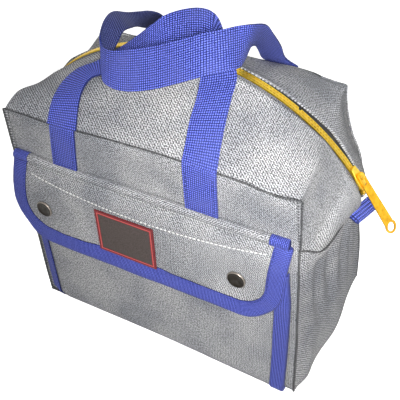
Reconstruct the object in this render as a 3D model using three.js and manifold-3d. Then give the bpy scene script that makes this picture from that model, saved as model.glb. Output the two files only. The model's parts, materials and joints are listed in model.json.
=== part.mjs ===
// Zippered canvas tool bag: a boxy body, a hood that rises to an arched metal zip, a snap pocket on each
// broad side and two webbing carry handles. Millimetres, +Z up, +X to the end where the zip closes, -Y the front.
// The origin is the centre of the base, on the surface that the bag stands on.
import * as THREE from "three";
import { LoftGeometry } from "three/addons/geometries/LoftGeometry.js";
import { mergeVertices } from "three/addons/utils/BufferGeometryUtils.js";
import Module from "manifold-3d";

const wasm = await Module();
wasm.setup();

// Cloth, webbing and the gap between neighbours
const canvas = 1.6;
const webbing = 1.6;
const clearance = 0.3;

// Body, measured over its front and back panels
const baseLength = 286;
const seamLength = 274;
const baseDepth = 158;
const seamDepth = 156;
const seamHeight = 237;
const boardThickness = 3;
const boardMargin = 3;

// End panels: their top seam and how far their middle stands out
const endSeamHeight = 186;
const endMiddleHeight = 172;
const endBulge = 14;

// Zip chain: one arc in the middle plane, angles counted from straight up, positive to the right
const zipRadius = 195;
const zipApex = 286;
const zipCentreX = -3;
const zipEndRight = 57.5;
const zipEndLeft = -54.5;
const chainHalfHeight = 1.3;
const toothPitch = 3.2;
const toothReach = 1.0;
const toothRoot = 2.3;
const spineEdge = 3.2;
const toothRootWidth = 0.9;
const toothTipWidth = 1.5;
const tapeThickness = 0.8;
const tapeWidth = 12;
const stopLength = 3.5;

// Hood: the cloth from the seam up to the zip
const mouthHalfLength = 104;
const hoodEdge = 7;
const hoodRise = 2.2;
const hoodCrown = 5;

// Slider and pull
const sliderAngle = 54.2;
const sliderLength = 19;
const sliderHalfWidth = 5.6;
const sliderPlate = 1.2;
const sliderGap = 0.45;
const flangeWidth = 1.1;
const lugWidth = 2.6;
const lugHole = 1.6;
const lugWall = 1.4;
const pullLength = 58;
const pullWidth = 9.5;
const pullThickness = 1.4;
const pullBar = 1.8;
const pullSlotWidth = 3.6;
const pullSlotLength = 9;
const pullHole = 6;
const pullDroop = 1;

// Webbing loops at the zip's ends
const tabWidth = 26;
const tabLength = 12;
const tabSlope = 22;
const tabFold = 1.3;
const tabRise = 9;
const tabStandOff = 2.6;

// Pockets
const pocketHalfWidth = 136;
const pocketTop = 160;
const pocketTopDepth = 4.5;
const pocketBaseDepth = 7;
const pocketBase = 12;
const bindingWidth = 13;
const bindingThickness = 1.2;

// Flaps
const flapHalfWidth = 137;
const flapHinge = 190;
const flapHeight = 85;
const flapCorner = 38;
const flapThickness = 1.6;
const flapBinding = 10;
const rollRadius = 3;

// Snaps: the two centres along the flap, and their height
const snapPlaces = [-111, 90];
const snapHeight = 140;
const snapCapRadius = 8.7;
const snapCapHeight = 2.2;
const snapSocketRadius = 6.2;
const studRadius = 2.4;
const socketBore = 2.9;
const studBaseRadius = 5;

// Patch on the front flap
const patchCentre = -19;
const patchWidth = 61;
const patchHeight = 48;
const patchMiddle = 140.5;
const patchThickness = 1.2;
const patchBorder = 3.5;
const patchRecess = 0.5;

// Handles
const handlePlaces = [-76, 55];
const handleWidth = 30;

const { lerp, degToRad, smoothstep } = THREE.MathUtils;
const vec = (x, y, z) => new THREE.Vector3(x, y, z);
const zipCentreZ = zipApex - zipRadius;
const floorLevel = canvas + clearance;
const panelTop = seamHeight - canvas - clearance;

const cloth = new THREE.MeshStandardMaterial({ color: 0x6f7478, roughness: 0.95, metalness: 0 });
const tapeCloth = new THREE.MeshStandardMaterial({ color: 0x23252a, roughness: 0.9, metalness: 0 });
const blue = new THREE.MeshStandardMaterial({ color: 0x3242a6, roughness: 0.85, metalness: 0 });
const brass = new THREE.MeshStandardMaterial({ color: 0xd9a321, roughness: 0.35, metalness: 1 });
const darkMetal = new THREE.MeshStandardMaterial({ color: 0x3a332c, roughness: 0.4, metalness: 1 });
const fibreBoard = new THREE.MeshStandardMaterial({ color: 0x57534c, roughness: 0.9, metalness: 0 });
const patchCloth = new THREE.MeshStandardMaterial({ color: 0x4a3a3a, roughness: 0.8, metalness: 0 });

const bag = new THREE.Group();

function add(name, geometry, material, parent = bag) {
  const mesh = new THREE.Mesh(outward(geometry), material);
  mesh.name = name;
  parent.add(mesh);
  return mesh;
}

// A geometry whose faces point out: the sign of its volume tells, and each triangle is turned where it is negative.
function outward(geometry) {
  const bare = new THREE.BufferGeometry();
  bare.setAttribute("position", geometry.attributes.position);
  bare.setIndex(geometry.index);
  const merged = mergeVertices(bare, 1e-3);
  const p = merged.attributes.position;
  const order = merged.index.array;
  const corners = [vec(0, 0, 0), vec(0, 0, 0), vec(0, 0, 0)];
  let volume = 0;
  for (let i = 0; i < order.length; i += 3) {
    corners.forEach((c, k) => c.fromBufferAttribute(p, order[i + k]));
    volume += corners[0].dot(corners[1].clone().cross(corners[2]));
  }
  if (volume < 0) {
    for (let i = 0; i < order.length; i += 3) {
      [order[i + 1], order[i + 2]] = [order[i + 2], order[i + 1]];
    }
  }
  return merged;
}

// To and from the boolean library
function solid(geometry) {
  const merged = outward(geometry);
  const triVerts = new Uint32Array(merged.index.array);
  const vertProperties = new Float32Array(merged.attributes.position.array);
  return new wasm.Manifold(new wasm.Mesh({ numProp: 3, vertProperties, triVerts }));
}

function geometryOf(body) {
  const mesh = body.getMesh();
  return new THREE.BufferGeometry()
    .setAttribute("position", new THREE.BufferAttribute(new Float32Array(mesh.vertProperties), 3))
    .setIndex(new THREE.BufferAttribute(new Uint32Array(mesh.triVerts), 1));
}

// A closed loft through rings of points, whichever way the rings run
function loft(sections) {
  const centre = (ring) => ring.reduce((sum, p) => sum.add(p), vec(0, 0, 0)).divideScalar(ring.length);
  const forward = centre(sections[1]).sub(centre(sections[0]));
  const normal = vec(0, 0, 0);
  sections[0].forEach((p, i, ring) => normal.add(p.clone().cross(ring[(i + 1) % ring.length])));
  const rings = normal.dot(forward) < 0 ? sections.map((ring) => [...ring].reverse()) : sections;
  return new LoftGeometry(rings, { closed: true, capStart: true, capEnd: true });
}

// Even steps from a to b, both included
const steps = (a, b, count) => Array.from({ length: count + 1 }, (_, i) => lerp(a, b, i / count));

// A sheet of cloth under a surface: surface(u, v) is its outer face and the thickness goes to the bag's inside.
function sheet(surface, us, vsAt, thickness) {
  const small = 1e-3;
  const inside = vec(0, 0, seamHeight / 2);
  const sections = us.map((u) => {
    const outer = [];
    const inner = [];
    for (const v of vsAt(u)) {
      const p = surface(u, v);
      const along = surface(u + small, v).sub(surface(u - small, v));
      const across = surface(u, v + small).sub(surface(u, v - small));
      const normal = along.cross(across).normalize();
      if (normal.dot(p.clone().sub(inside)) < 0) normal.negate();
      outer.push(p);
      inner.unshift(p.clone().addScaledVector(normal, -thickness));
    }
    return outer.concat(inner);
  });
  return loft(sections);
}

// Webbing between two edges, each given by its points along the way
function ribbon(rows, thickness, count) {
  const [first, second] = [0, 1].map((k) => new THREE.CatmullRomCurve3(rows.map((r) => r[k]), false, "centripetal"));
  const sections = steps(0, 1, count).map((t) => {
    const [a, b] = [first.getPoint(t), second.getPoint(t)];
    const along = first.getTangent(t).add(second.getTangent(t));
    const n = along.cross(a.clone().sub(b)).normalize().multiplyScalar(thickness / 2);
    return [b.clone().sub(n), a.clone().sub(n), a.clone().add(n), b.clone().add(n)];
  });
  return loft(sections);
}

// A flat outline in X and Z as a prism along Y, from y0 to y1
function prismY(shape, y0, y1) {
  const made = new THREE.ExtrudeGeometry(shape, { depth: y1 - y0, bevelEnabled: false, curveSegments: 8 });
  return made.rotateX(Math.PI / 2).translate(0, y1, 0);
}

// A profile in Y and Z as a prism along X, from x0 to x1
function prismX(points, x0, x1) {
  const shape = new THREE.Shape(points.map(([y, z]) => new THREE.Vector2(y, z)));
  const made = new THREE.ExtrudeGeometry(shape, { depth: x1 - x0, bevelEnabled: false });
  return made.applyMatrix4(new THREE.Matrix4().set(0, 0, 1, x0, 1, 0, 0, 0, 0, 1, 0, 0, 0, 0, 0, 1));
}

// Body outline at a height
const halfLength = (z) => lerp(baseLength, seamLength, z / seamHeight) / 2;
const halfDepth = (z) => lerp(baseDepth, seamDepth, z / seamHeight) / 2;
const endFace = (z) => halfLength(z) + clearance + canvas;

function endTop(y) {
  return lerp(endMiddleHeight, endSeamHeight, (y / halfDepth(endSeamHeight)) ** 2);
}

function endX(y, z) {
  const middle = 1 - (y / halfDepth(z)) ** 4;
  return endFace(z) + endBulge * middle * (z / endMiddleHeight) ** 2;
}

// Bottom cloth and the stiff board that lies on it
const bottomShape = new THREE.Shape();
bottomShape.moveTo(-endFace(0), -baseDepth / 2);
bottomShape.lineTo(endFace(0), -baseDepth / 2);
bottomShape.lineTo(endFace(0), baseDepth / 2);
bottomShape.lineTo(-endFace(0), baseDepth / 2);
add("bottom_panel", new THREE.ExtrudeGeometry(bottomShape, { depth: canvas, bevelEnabled: false }), cloth);

const boardLength = baseLength - 2 * boardMargin;
const boardDepth = baseDepth - 2 * (canvas + boardMargin);
const board = new THREE.BoxGeometry(boardLength, boardDepth, boardThickness);
board.translate(0, 0, floorLevel + boardThickness / 2);
add("bottom_board", board, fibreBoard);

const sides = [["front", -1], ["back", 1]];
const ends = [["left", -1], ["right", 1]];

for (const [name, side] of sides) {
  const face = (u, v) => {
    const z = lerp(floorLevel, panelTop, v);
    return vec(u * halfLength(z), side * halfDepth(z), z);
  };
  add(name + "_panel", sheet(face, [-1, 1], () => [0, 1], canvas), cloth);
}

for (const [name, end] of ends) {
  const face = (u, v) => {
    const widest = halfDepth(0);
    const top = endTop(u * widest) - clearance - 0.6;
    const z = lerp(floorLevel, top, v);
    const y = u * halfDepth(z);
    return vec(end * endX(y, z), y, z);
  };
  add("end_panel_" + name, sheet(face, steps(-1, 1, 8), () => steps(0, 1, 4), canvas), cloth);
}

// Zip arc: a point at an angle, raised from the chain's middle
function zipPoint(degrees, rise) {
  const a = degToRad(degrees);
  return vec(zipCentreX + (zipRadius + rise) * Math.sin(a), 0, zipCentreZ + (zipRadius + rise) * Math.cos(a));
}

const zipAngleAt = (x, rise) => THREE.MathUtils.radToDeg(Math.asin((x - zipCentreX) / (zipRadius + rise)));

// Hood: t runs from the middle of the seam to the mouth's end (1), the corner's top (2), the corner's foot (3)
// and the zip's end (4), negative to the left. v runs from the seam to the zip.
const hoodEndDepth = hoodEdge + 4;

function seamPoint(side, t) {
  const end = Math.sign(t);
  const s = Math.abs(t);
  if (s <= 1) return vec(t * mouthHalfLength, (side * seamDepth) / 2, seamHeight + clearance);
  if (s <= 2) {
    return vec(end * lerp(mouthHalfLength, endFace(seamHeight), s - 1), (side * seamDepth) / 2, seamHeight + clearance);
  }
  if (s <= 3) {
    const z = lerp(seamHeight, endSeamHeight, s - 2) + clearance;
    return vec(end * endFace(z), side * halfDepth(z), z);
  }
  const y = lerp(halfDepth(endSeamHeight), hoodEndDepth, Math.min(s - 3, 1));
  const z = endTop(y) + clearance;
  return vec(end * endX(y, z), side * y, z);
}

function hoodZipPoint(t) {
  const end = Math.sign(t);
  const s = Math.abs(t);
  if (s <= 1) return zipPoint(zipAngleAt(t * mouthHalfLength, hoodRise), hoodRise);
  const mouthEnd = zipAngleAt(end * mouthHalfLength, hoodRise);
  const zipEnd = end < 0 ? zipEndLeft : zipEndRight;
  const share = s <= 2 ? 0.35 * (s - 1) : s <= 3 ? 0.35 + 0.4 * (s - 2) : 0.75 + 0.25 * (s - 3);
  return zipPoint(lerp(mouthEnd, zipEnd, share), hoodRise);
}

function hoodPoint(side, t, v) {
  const round = smoothstep(Math.abs(t), 1, 3);
  const bulge = vec(Math.sign(t) * round, 0, 1 - 0.7 * round);
  const point = seamPoint(side, t).lerp(hoodZipPoint(t), v);
  return point.addScaledVector(bulge, hoodCrown * 4 * v * (1 - v));
}

// The share of the way up from the seam where the hood is this far from the middle plane
const hoodShare = (side, t, fromMiddle) => 1 - fromMiddle / Math.abs(seamPoint(side, t).y);

const endSteps = [1, 1.35, 1.7, 2, 2.25, 2.5, 2.75, 3, 3.2, 3.4, 3.6, 3.8, 4];
const mouthSteps = steps(-1, 1, 16);
const mouthGap = clearance / mouthHalfLength;
const leftSteps = endSteps.map((s) => -s).reverse();
const hoodRows = {
  hood_front: [-1, [...leftSteps, ...mouthSteps.slice(1, -1), ...endSteps]],
  hood_back: [1, mouthSteps.map((t) => t * (1 - mouthGap))],
  hood_back_end_left: [1, leftSteps.map((t) => (t === -1 ? t - mouthGap : t))],
  hood_back_end_right: [1, endSteps.map((t) => (t === 1 ? t + mouthGap : t))],
};
for (const [name, [side, ts]] of Object.entries(hoodRows)) {
  const rows = (t) => steps(0, hoodShare(side, t, hoodEdge), 4);
  add(name, sheet((t, v) => hoodPoint(side, t, v), ts, rows, canvas), cloth);
}

// Zip tape: from under the hood's edge up to the teeth's spine
function tapePoint(side, t, w) {
  const chain = hoodZipPoint(t);
  const centre = vec(zipCentreX, 0, zipCentreZ);
  const out = chain.clone().sub(centre).normalize();
  const spine = centre.clone().addScaledVector(out, zipRadius + tapeThickness / 2);
  spine.y = side * (spineEdge + clearance + tapeThickness / 2);
  const reach = lerp(tapeWidth, hoodEdge + 1, smoothstep(Math.abs(t), 2.6, 3.6));
  const bend = hoodPoint(side, t, hoodShare(side, t, hoodEdge - 0.8)).addScaledVector(out, -canvas - 2 * clearance);
  const under = hoodPoint(side, t, hoodShare(side, t, reach)).addScaledVector(out, -canvas - 2 * clearance);
  return w < 0.5 ? under.lerp(bend, w * 2) : bend.lerp(spine, w * 2 - 1);
}

const tapeRows = {
  zip_tape_front: hoodRows.hood_front,
  zip_tape_back: hoodRows.hood_back,
  zip_tape_back_left: hoodRows.hood_back_end_left,
  zip_tape_back_right: hoodRows.hood_back_end_right,
};
for (const [name, [side, ts]] of Object.entries(tapeRows)) {
  const short = ts.filter((t) => Math.abs(t) <= 3.8);
  add(name, sheet((t, w) => tapePoint(side, t, w), short, () => [0, 0.5, 1], tapeThickness), tapeCloth);
}

// Teeth: a comb on a spine, bent along the zip's arc. In the mouth's stretch the sides of the teeth stand
// upright, so that the two rows part freely, and past it they turn to the arc's own direction.
const pitchAngle = THREE.MathUtils.radToDeg(toothPitch / zipRadius);
const mouthAngles = [-1, 1].map((end) => zipAngleAt(end * mouthHalfLength, 0));

function chainPoint(degrees, y, rise) {
  const a = degToRad(degrees);
  const past = Math.max(mouthAngles[0] - degrees, degrees - mouthAngles[1]);
  const lean = smoothstep(past, 0, 8 * pitchAngle);
  const x = (zipRadius + rise * lean) * Math.sin(a);
  return vec(zipCentreX + x, y, zipCentreZ + Math.sqrt((zipRadius + rise) ** 2 - x ** 2));
}

function toothRow(side, first, last) {
  const rootHalf = THREE.MathUtils.radToDeg(toothRootWidth / 2 / zipRadius);
  const tipHalf = THREE.MathUtils.radToDeg(toothTipWidth / 2 / zipRadius);
  const points = [];
  const index = [];
  const count = Math.floor((last - first) / pitchAngle);
  for (const rise of [chainHalfHeight, -chainHalfHeight]) {
    for (let i = 0; i <= count; i++) {
      const a = first + i * pitchAngle;
      points.push(chainPoint(a, side * spineEdge, rise));
      points.push(chainPoint(a - rootHalf, side * toothRoot, rise));
      points.push(chainPoint(a - tipHalf, -side * toothReach, rise));
      points.push(chainPoint(a + tipHalf, -side * toothReach, rise));
      points.push(chainPoint(a + rootHalf, side * toothRoot, rise));
    }
  }
  const below = points.length / 2;
  const face = (a, b, c) => index.push(a, b, c, a + below, c + below, b + below);
  const wall = (a, b) => index.push(a, a + below, b, b, a + below, b + below);
  for (let i = 0; i <= count; i++) {
    const [spine, rootA, tipA, tipB, rootB] = [0, 1, 2, 3, 4].map((k) => 5 * i + k);
    face(spine, rootA, rootB);
    face(rootA, tipA, rootB);
    face(tipA, tipB, rootB);
    wall(rootA, tipA);
    wall(tipA, tipB);
    wall(tipB, rootB);
    if (i === 0) wall(spine, rootA);
    if (i === count) {
      wall(rootB, spine);
      continue;
    }
    const [nextSpine, nextRoot] = [5 * (i + 1), 5 * (i + 1) + 1];
    face(spine, rootB, nextSpine);
    face(nextSpine, rootB, nextRoot);
    wall(rootB, nextRoot);
    wall(nextSpine, spine);
  }
  return new THREE.BufferGeometry().setFromPoints(points).setIndex(index);
}

// The back row stands half a pitch off the front row, so its teeth lie between the front ones.
const toothAt = (k, offset) => (k + offset) * pitchAngle;
const firstTooth = Math.ceil(zipEndLeft / pitchAngle);
const lastTooth = Math.floor(zipEndRight / pitchAngle);
const mouthFirst = Math.ceil(mouthAngles[0] / pitchAngle);
const mouthLast = Math.floor(mouthAngles[1] / pitchAngle) - 1;
add("zip_teeth_front", toothRow(-1, toothAt(firstTooth, 0), toothAt(lastTooth, 0.01)), brass);
add("zip_teeth_back", toothRow(1, toothAt(mouthFirst, 0.5), toothAt(mouthLast, 0.51)), brass);
add("zip_teeth_back_left", toothRow(1, toothAt(firstTooth, 0.5), toothAt(mouthFirst - 1, 0.51)), brass);
add("zip_teeth_back_right", toothRow(1, toothAt(mouthLast + 1, 0.5), toothAt(lastTooth - 1, 0.51)), brass);

// A group whose X runs along the zip and whose Z points away from it
function onZip(degrees) {
  const place = new THREE.Group();
  place.position.copy(zipPoint(degrees, 0));
  place.rotation.y = degToRad(degrees);
  bag.add(place);
  return place;
}

// Stops: a crimp across both rows past the last teeth
const stopStep = toothTipWidth / 2 + clearance + stopLength / 2;
const stopAngle = THREE.MathUtils.radToDeg(stopStep / (zipRadius - chainHalfHeight));
for (const [name, end] of ends) {
  const degrees = end < 0 ? toothAt(firstTooth, 0) - stopAngle : toothAt(lastTooth, 0) + stopAngle;
  const crimp = new THREE.BoxGeometry(stopLength, 2 * spineEdge, 2 * chainHalfHeight);
  add("zip_stop_" + name, crimp, brass, onZip(degrees));
}

// Slider: a top plate with side flanges and a lug for the pull, and a plate under the teeth
const plateBottom = chainHalfHeight + sliderGap;
const plateTop = plateBottom + sliderPlate;
const pullAxis = plateTop + lugHole + 0.6;

function plateShape(half) {
  const back = half * 0.62;
  const shape = new THREE.Shape();
  shape.moveTo(-sliderLength / 2, -back);
  shape.lineTo(0, -half);
  shape.lineTo(sliderLength / 2 - 3, -half);
  shape.quadraticCurveTo(sliderLength / 2, -half, sliderLength / 2, -half / 2);
  shape.lineTo(sliderLength / 2, half / 2);
  shape.quadraticCurveTo(sliderLength / 2, half, sliderLength / 2 - 3, half);
  shape.lineTo(0, half);
  shape.lineTo(-sliderLength / 2, back);
  return shape;
}

function sliderTop() {
  const plate = new THREE.ExtrudeGeometry(plateShape(sliderHalfWidth), {
    depth: sliderPlate,
    bevelEnabled: true,
    bevelThickness: 0.25,
    bevelSize: 0.25,
    bevelOffset: -0.25,
    bevelSegments: 1,
    curveSegments: 4,
  });
  plate.translate(0, 0, plateBottom);
  let body = solid(plate);
  for (const side of [-1, 1]) {
    const flange = new THREE.BoxGeometry(sliderLength / 2 - 1, flangeWidth, sliderPlate);
    flange.translate(sliderLength / 4 - 1, side * (sliderHalfWidth - flangeWidth / 2), plateBottom + 0.2);
    body = body.add(solid(flange));
  }
  const outer = lugHole + lugWall;
  const lug = new THREE.Shape();
  lug.moveTo(-outer, plateTop - 0.5);
  lug.lineTo(outer, plateTop - 0.5);
  lug.lineTo(outer, pullAxis);
  lug.absarc(0, pullAxis, outer, 0, Math.PI);
  const eye = new THREE.Path();
  eye.absarc(0, pullAxis, lugHole, 0, 2 * Math.PI, true);
  lug.holes.push(eye);
  return geometryOf(body.add(solid(prismY(lug, -lugWidth / 2, lugWidth / 2))));
}

const sliderPlace = onZip(sliderAngle);
add("zip_slider", sliderTop(), brass, sliderPlace);
const under = new THREE.ExtrudeGeometry(plateShape(spineEdge - clearance), { depth: sliderPlate, bevelEnabled: false });
under.translate(0, 0, -plateBottom - sliderPlate);
add("zip_slider_underplate", under, brass, sliderPlace);

// Pull: a flat strip with a slot over the lug, whose end bar turns in the lug's eye, and a round hole at the tip
function pullShape() {
  const half = pullWidth / 2;
  const neck = half - 0.8;
  const shape = new THREE.Shape();
  shape.moveTo(-pullBar / 2, -neck);
  shape.lineTo(pullSlotLength, -neck);
  shape.lineTo(pullSlotLength + 8, -half);
  shape.lineTo(pullLength - half, -half);
  shape.absarc(pullLength - half, 0, half, -Math.PI / 2, Math.PI / 2);
  shape.lineTo(pullSlotLength + 8, half);
  shape.lineTo(pullSlotLength, neck);
  shape.lineTo(-pullBar / 2, neck);
  const slot = new THREE.Path();
  slot.moveTo(pullBar / 2, -pullSlotWidth / 2);
  slot.lineTo(pullBar / 2, pullSlotWidth / 2);
  slot.lineTo(pullSlotLength - pullSlotWidth / 2, pullSlotWidth / 2);
  slot.absarc(pullSlotLength - pullSlotWidth / 2, 0, pullSlotWidth / 2, Math.PI / 2, -Math.PI / 2, true);
  const hole = new THREE.Path();
  hole.absarc(pullLength - half, 0, pullHole / 2, 0, 2 * Math.PI, true);
  shape.holes.push(slot, hole);
  return shape;
}

const pull = new THREE.ExtrudeGeometry(pullShape(), { depth: pullThickness, bevelEnabled: false, curveSegments: 8 });
pull.translate(0, 0, -pullThickness / 2);
const pullPlace = new THREE.Group();
pullPlace.position.z = pullAxis;
pullPlace.rotation.y = degToRad(pullDroop);
sliderPlace.add(pullPlace);
add("zip_pull", pull, brass, pullPlace);

// How far out the hood's end reaches at a height, in the middle plane
function hoodEndX(end, z) {
  const low = seamPoint(1, 4 * end);
  const high = hoodZipPoint(4 * end);
  return end * lerp(low.x, high.x, (z - low.z) / (high.z - low.z));
}

// Webbing loops: a leg sewn over the join under the zip's end, then out and folded back over itself
const tabHeight = endMiddleHeight + tabRise;
for (const [name, end] of ends) {
  const slope = degToRad(tabSlope);
  const out = vec(end * Math.cos(slope), 0, -Math.sin(slope));
  const up = vec(end * Math.sin(slope), 0, Math.cos(slope));
  const fold = tabFold + webbing / 2;
  const standing = hoodEndX(end, tabHeight) + tabStandOff + webbing / 2;
  const root = vec(end * standing, 0, tabHeight);
  const at = (along, high) => root.clone().addScaledVector(out, along).addScaledVector(up, high);
  const leg = (z) => vec(end * (hoodEndX(end, z) + tabStandOff + webbing / 2), 0, z);
  const points = [leg(endMiddleHeight + 2), leg(tabHeight - 2 * fold), at(fold, -fold), at(tabLength - fold, -fold)];
  for (const turn of [-60, -30, 0, 30, 60]) {
    points.push(at(tabLength + fold * (Math.cos(degToRad(turn)) - 1), fold * Math.sin(degToRad(turn))));
  }
  points.push(at(tabLength - fold, fold), at(fold, fold));
  const sections = points.map((p, i) => {
    const before = points[Math.max(i - 1, 0)];
    const after = points[Math.min(i + 1, points.length - 1)];
    const n = after.clone().sub(before).normalize().cross(vec(0, 1, 0));
    return [[-1, -1], [1, -1], [1, 1], [-1, 1]].map(([a, b]) =>
      p.clone().add(vec(0, (a * tabWidth) / 2, 0)).addScaledVector(n, (b * webbing) / 2),
    );
  });
  add("end_tab_" + name, loft(sections), blue);
}

// Pocket: its outer face from the lip down, and the turned-in foot that closes it
const footHeight = floorLevel + 1.5;
const footInset = 4;

function pocketFace(z) {
  const depth = lerp(pocketBaseDepth, pocketTopDepth, (z - pocketBase) / (pocketTop - pocketBase));
  const foot = z < pocketBase ? lerp(footInset, 0, (z - footHeight) / (pocketBase - footHeight)) : 0;
  return halfDepth(z) + canvas + depth - foot;
}

const pocketEdge = pocketHalfWidth - bindingThickness - clearance;

function pocketProfile(side) {
  const inner = canvas;
  return [
    [side * pocketFace(pocketTop), pocketTop],
    [side * pocketFace(pocketBase), pocketBase],
    [side * (pocketFace(pocketBase) - footInset), footHeight],
    [side * (halfDepth(0) + clearance), floorLevel],
    [side * (halfDepth(0) + clearance), floorLevel + inner],
    [side * (pocketFace(pocketBase) - footInset - inner / 2), footHeight + inner],
    [side * (pocketFace(pocketBase) - inner), pocketBase + inner / 2],
    [side * (pocketFace(pocketTop) - inner), pocketTop],
  ];
}

// Flap profile: out from the hinge, over the pocket's lip, then down along the pocket
const lipLevel = pocketTop + 3;
const flapRoom = bindingThickness + 2 * clearance;
const flapLip = pocketFace(lipLevel) + flapRoom + flapThickness;
const flapFoot = flapHinge - flapHeight;
const flapTopFace = halfDepth(flapHinge) + clearance + flapThickness;
const flapLow = pocketFace(flapFoot) + flapRoom + flapThickness + 1;

function flapProfile(side, outset, inset, top, bottom) {
  return [
    [side * (flapTopFace + outset), top],
    [side * (flapLip + outset), lipLevel],
    [side * (flapLow + outset), bottom],
    [side * (flapLow - inset), bottom],
    [side * (flapLip - inset), lipLevel],
    [side * (flapTopFace - inset), top],
  ];
}

// The outer face of the flap's lower part at a height, and its lean from upright
const flapLean = Math.atan2(flapLow - flapLip, lipLevel - flapFoot);
const flapFace = (z) => lerp(flapLow, flapLip, (z - flapFoot) / (lipLevel - flapFoot));

function flapOutline(inset) {
  const half = flapHalfWidth - inset;
  const foot = flapFoot + inset;
  const corner = flapCorner - inset;
  const top = flapHinge + 20;
  const shape = new THREE.Shape();
  shape.moveTo(-half, top);
  shape.lineTo(-half, foot + corner);
  shape.absarc(-half + corner, foot + corner, corner, Math.PI, 1.5 * Math.PI);
  shape.lineTo(half - corner, foot);
  shape.absarc(half - corner, foot + corner, corner, -Math.PI / 2, 0);
  shape.lineTo(half, top);
  return shape;
}

// Snap pieces, turned about the line through the flap; height 0 is the flap's outer face
const snapRoom = flapRoom + flapThickness;
const capProfile = [
  [0, clearance],
  [snapCapRadius - 0.6, clearance],
  [snapCapRadius, clearance + 0.7],
  [snapCapRadius * 0.8, snapCapHeight],
  [snapCapRadius * 0.6, snapCapHeight - 0.5],
  [0, snapCapHeight - 0.2],
];
const socketProfile = [
  [socketBore, -flapThickness - 0.15],
  [socketBore, -flapThickness - 0.95],
  [snapSocketRadius, -flapThickness - 0.95],
  [snapSocketRadius, -flapThickness - 0.15],
  [socketBore, -flapThickness - 0.15],
];
const studProfile = [
  [0, 0.2 - snapRoom],
  [studBaseRadius, 0.2 - snapRoom],
  [studBaseRadius, 0.55 - snapRoom],
  [studRadius, 0.55 - snapRoom],
  [studRadius, -flapThickness - 0.3],
  [0, -flapThickness - 0.2],
];

function turned(profile) {
  return new THREE.LatheGeometry(profile.map(([r, h]) => new THREE.Vector2(r, h)), 20).rotateX(Math.PI / 2);
}

const flapTop = flapHinge - rollRadius - clearance;
for (const [name, side] of sides) {
  add("pocket_panel_" + name, prismX(pocketProfile(side), -pocketEdge, pocketEdge), cloth);

  // Bindings: blue tape over the pocket's side edges, from the floor to under the flap
  for (const [endName, end] of ends) {
    const tape = bindingThickness;
    const outer = (z) => pocketFace(z) + clearance + tape;
    const place = (x, deep, z) => vec(end * x, side * deep, z);
    const sections = [footHeight, pocketBase, pocketTop - 1].map((z) => [
      place(pocketHalfWidth, halfDepth(z) + clearance, z),
      place(pocketHalfWidth, outer(z), z),
      place(pocketHalfWidth - bindingWidth, outer(z), z),
      place(pocketHalfWidth - bindingWidth, outer(z) - tape, z),
      place(pocketHalfWidth - tape, outer(z) - tape, z),
      place(pocketHalfWidth - tape, halfDepth(z) + clearance, z),
    ]);
    add("pocket_binding_" + name + "_" + endName, loft(sections), blue);
  }

  // Flap: the cloth, and the tape that is folded over its edge
  const slab = (outset, inset, low) => solid(prismX(flapProfile(side, outset, inset, flapTop, flapFoot - low), -flapHalfWidth - 5, flapHalfWidth + 5));
  const prism = (inset) => solid(prismY(flapOutline(inset), -200, 200));
  const clothInset = bindingThickness + clearance;
  const panel = slab(0, flapThickness, 0).intersect(prism(clothInset));
  add("flap_" + name, geometryOf(panel), cloth);
  const ring = prism(0).subtract(prism(flapBinding));
  const around = slab(bindingThickness + clearance, flapThickness + clearance, 5).intersect(ring);
  const room = slab(clearance, flapThickness + clearance + 5, 5).intersect(prism(bindingThickness));
  add("flap_binding_" + name, geometryOf(around.subtract(room)), blue);

  // Roll: the rolled seam that the flap hangs from
  const roll = new THREE.Shape();
  roll.absarc(0, 0, rollRadius, -Math.PI / 2, Math.PI / 2);
  const bar = new THREE.ExtrudeGeometry(roll, { depth: 2 * flapHalfWidth, bevelEnabled: false, curveSegments: 5 });
  bar.applyMatrix4(new THREE.Matrix4().set(0, 0, 1, -flapHalfWidth, side, 0, 0, side * (halfDepth(flapHinge) + clearance), 0, 1, 0, flapHinge, 0, 0, 0, 1));
  add("flap_roll_" + name, bar, cloth);

  // Snaps: a cap outside the flap, a socket inside it and a stud on the pocket
  snapPlaces.forEach((x, i) => {
    const label = "_" + name + "_" + ends[i][0];
    const place = new THREE.Group();
    place.position.set(x, side * flapFace(snapHeight), snapHeight);
    place.rotation.x = side * (flapLean - Math.PI / 2);
    bag.add(place);
    add("snap_cap" + label, turned(capProfile), darkMetal, place);
    add("snap_socket" + label, turned(socketProfile), darkMetal, place);
    add("snap_stud" + label, turned(studProfile), darkMetal, place);
  });
}

// Patch: a stitched-on piece with a raised border round a plain field
const patchPlace = new THREE.Group();
patchPlace.position.set(patchCentre, -flapFace(patchMiddle) - clearance, patchMiddle);
patchPlace.rotation.x = Math.PI / 2 - flapLean;
bag.add(patchPlace);
const patch = new THREE.BoxGeometry(patchWidth, patchHeight, patchThickness).translate(0, 0, patchThickness / 2);
const field = new THREE.BoxGeometry(patchWidth - 2 * patchBorder, patchHeight - 2 * patchBorder, patchThickness);
field.translate(0, 0, patchThickness * 1.5 - patchRecess);
add("label_patch", geometryOf(solid(patch).subtract(solid(field))), patchCloth, patchPlace);

// Handle legs: webbing sewn up the panel from the flap's roll to the seam
for (const [name, side] of sides) {
  handlePlaces.forEach((x, i) => {
    const deep = (z) => side * (halfDepth(z) + clearance + webbing / 2);
    const levels = [flapHinge + rollRadius + 1, seamHeight - 2];
    const rows = levels.map((z) => [1, -1].map((edge) => vec(x + (edge * handleWidth) / 2, deep(z), z)));
    add("strap_leg_" + name + "_" + ends[i][0], ribbon(rows, webbing, 1), blue);
  });
}

// Hood height at a place on it, for the handles that lie on it
function hoodHeight(x, y) {
  const t = x / mouthHalfLength;
  const side = y < 0 ? -1 : 1;
  return hoodPoint(side, t, hoodShare(side, t, Math.max(Math.abs(y), hoodEdge))).z;
}

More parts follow.
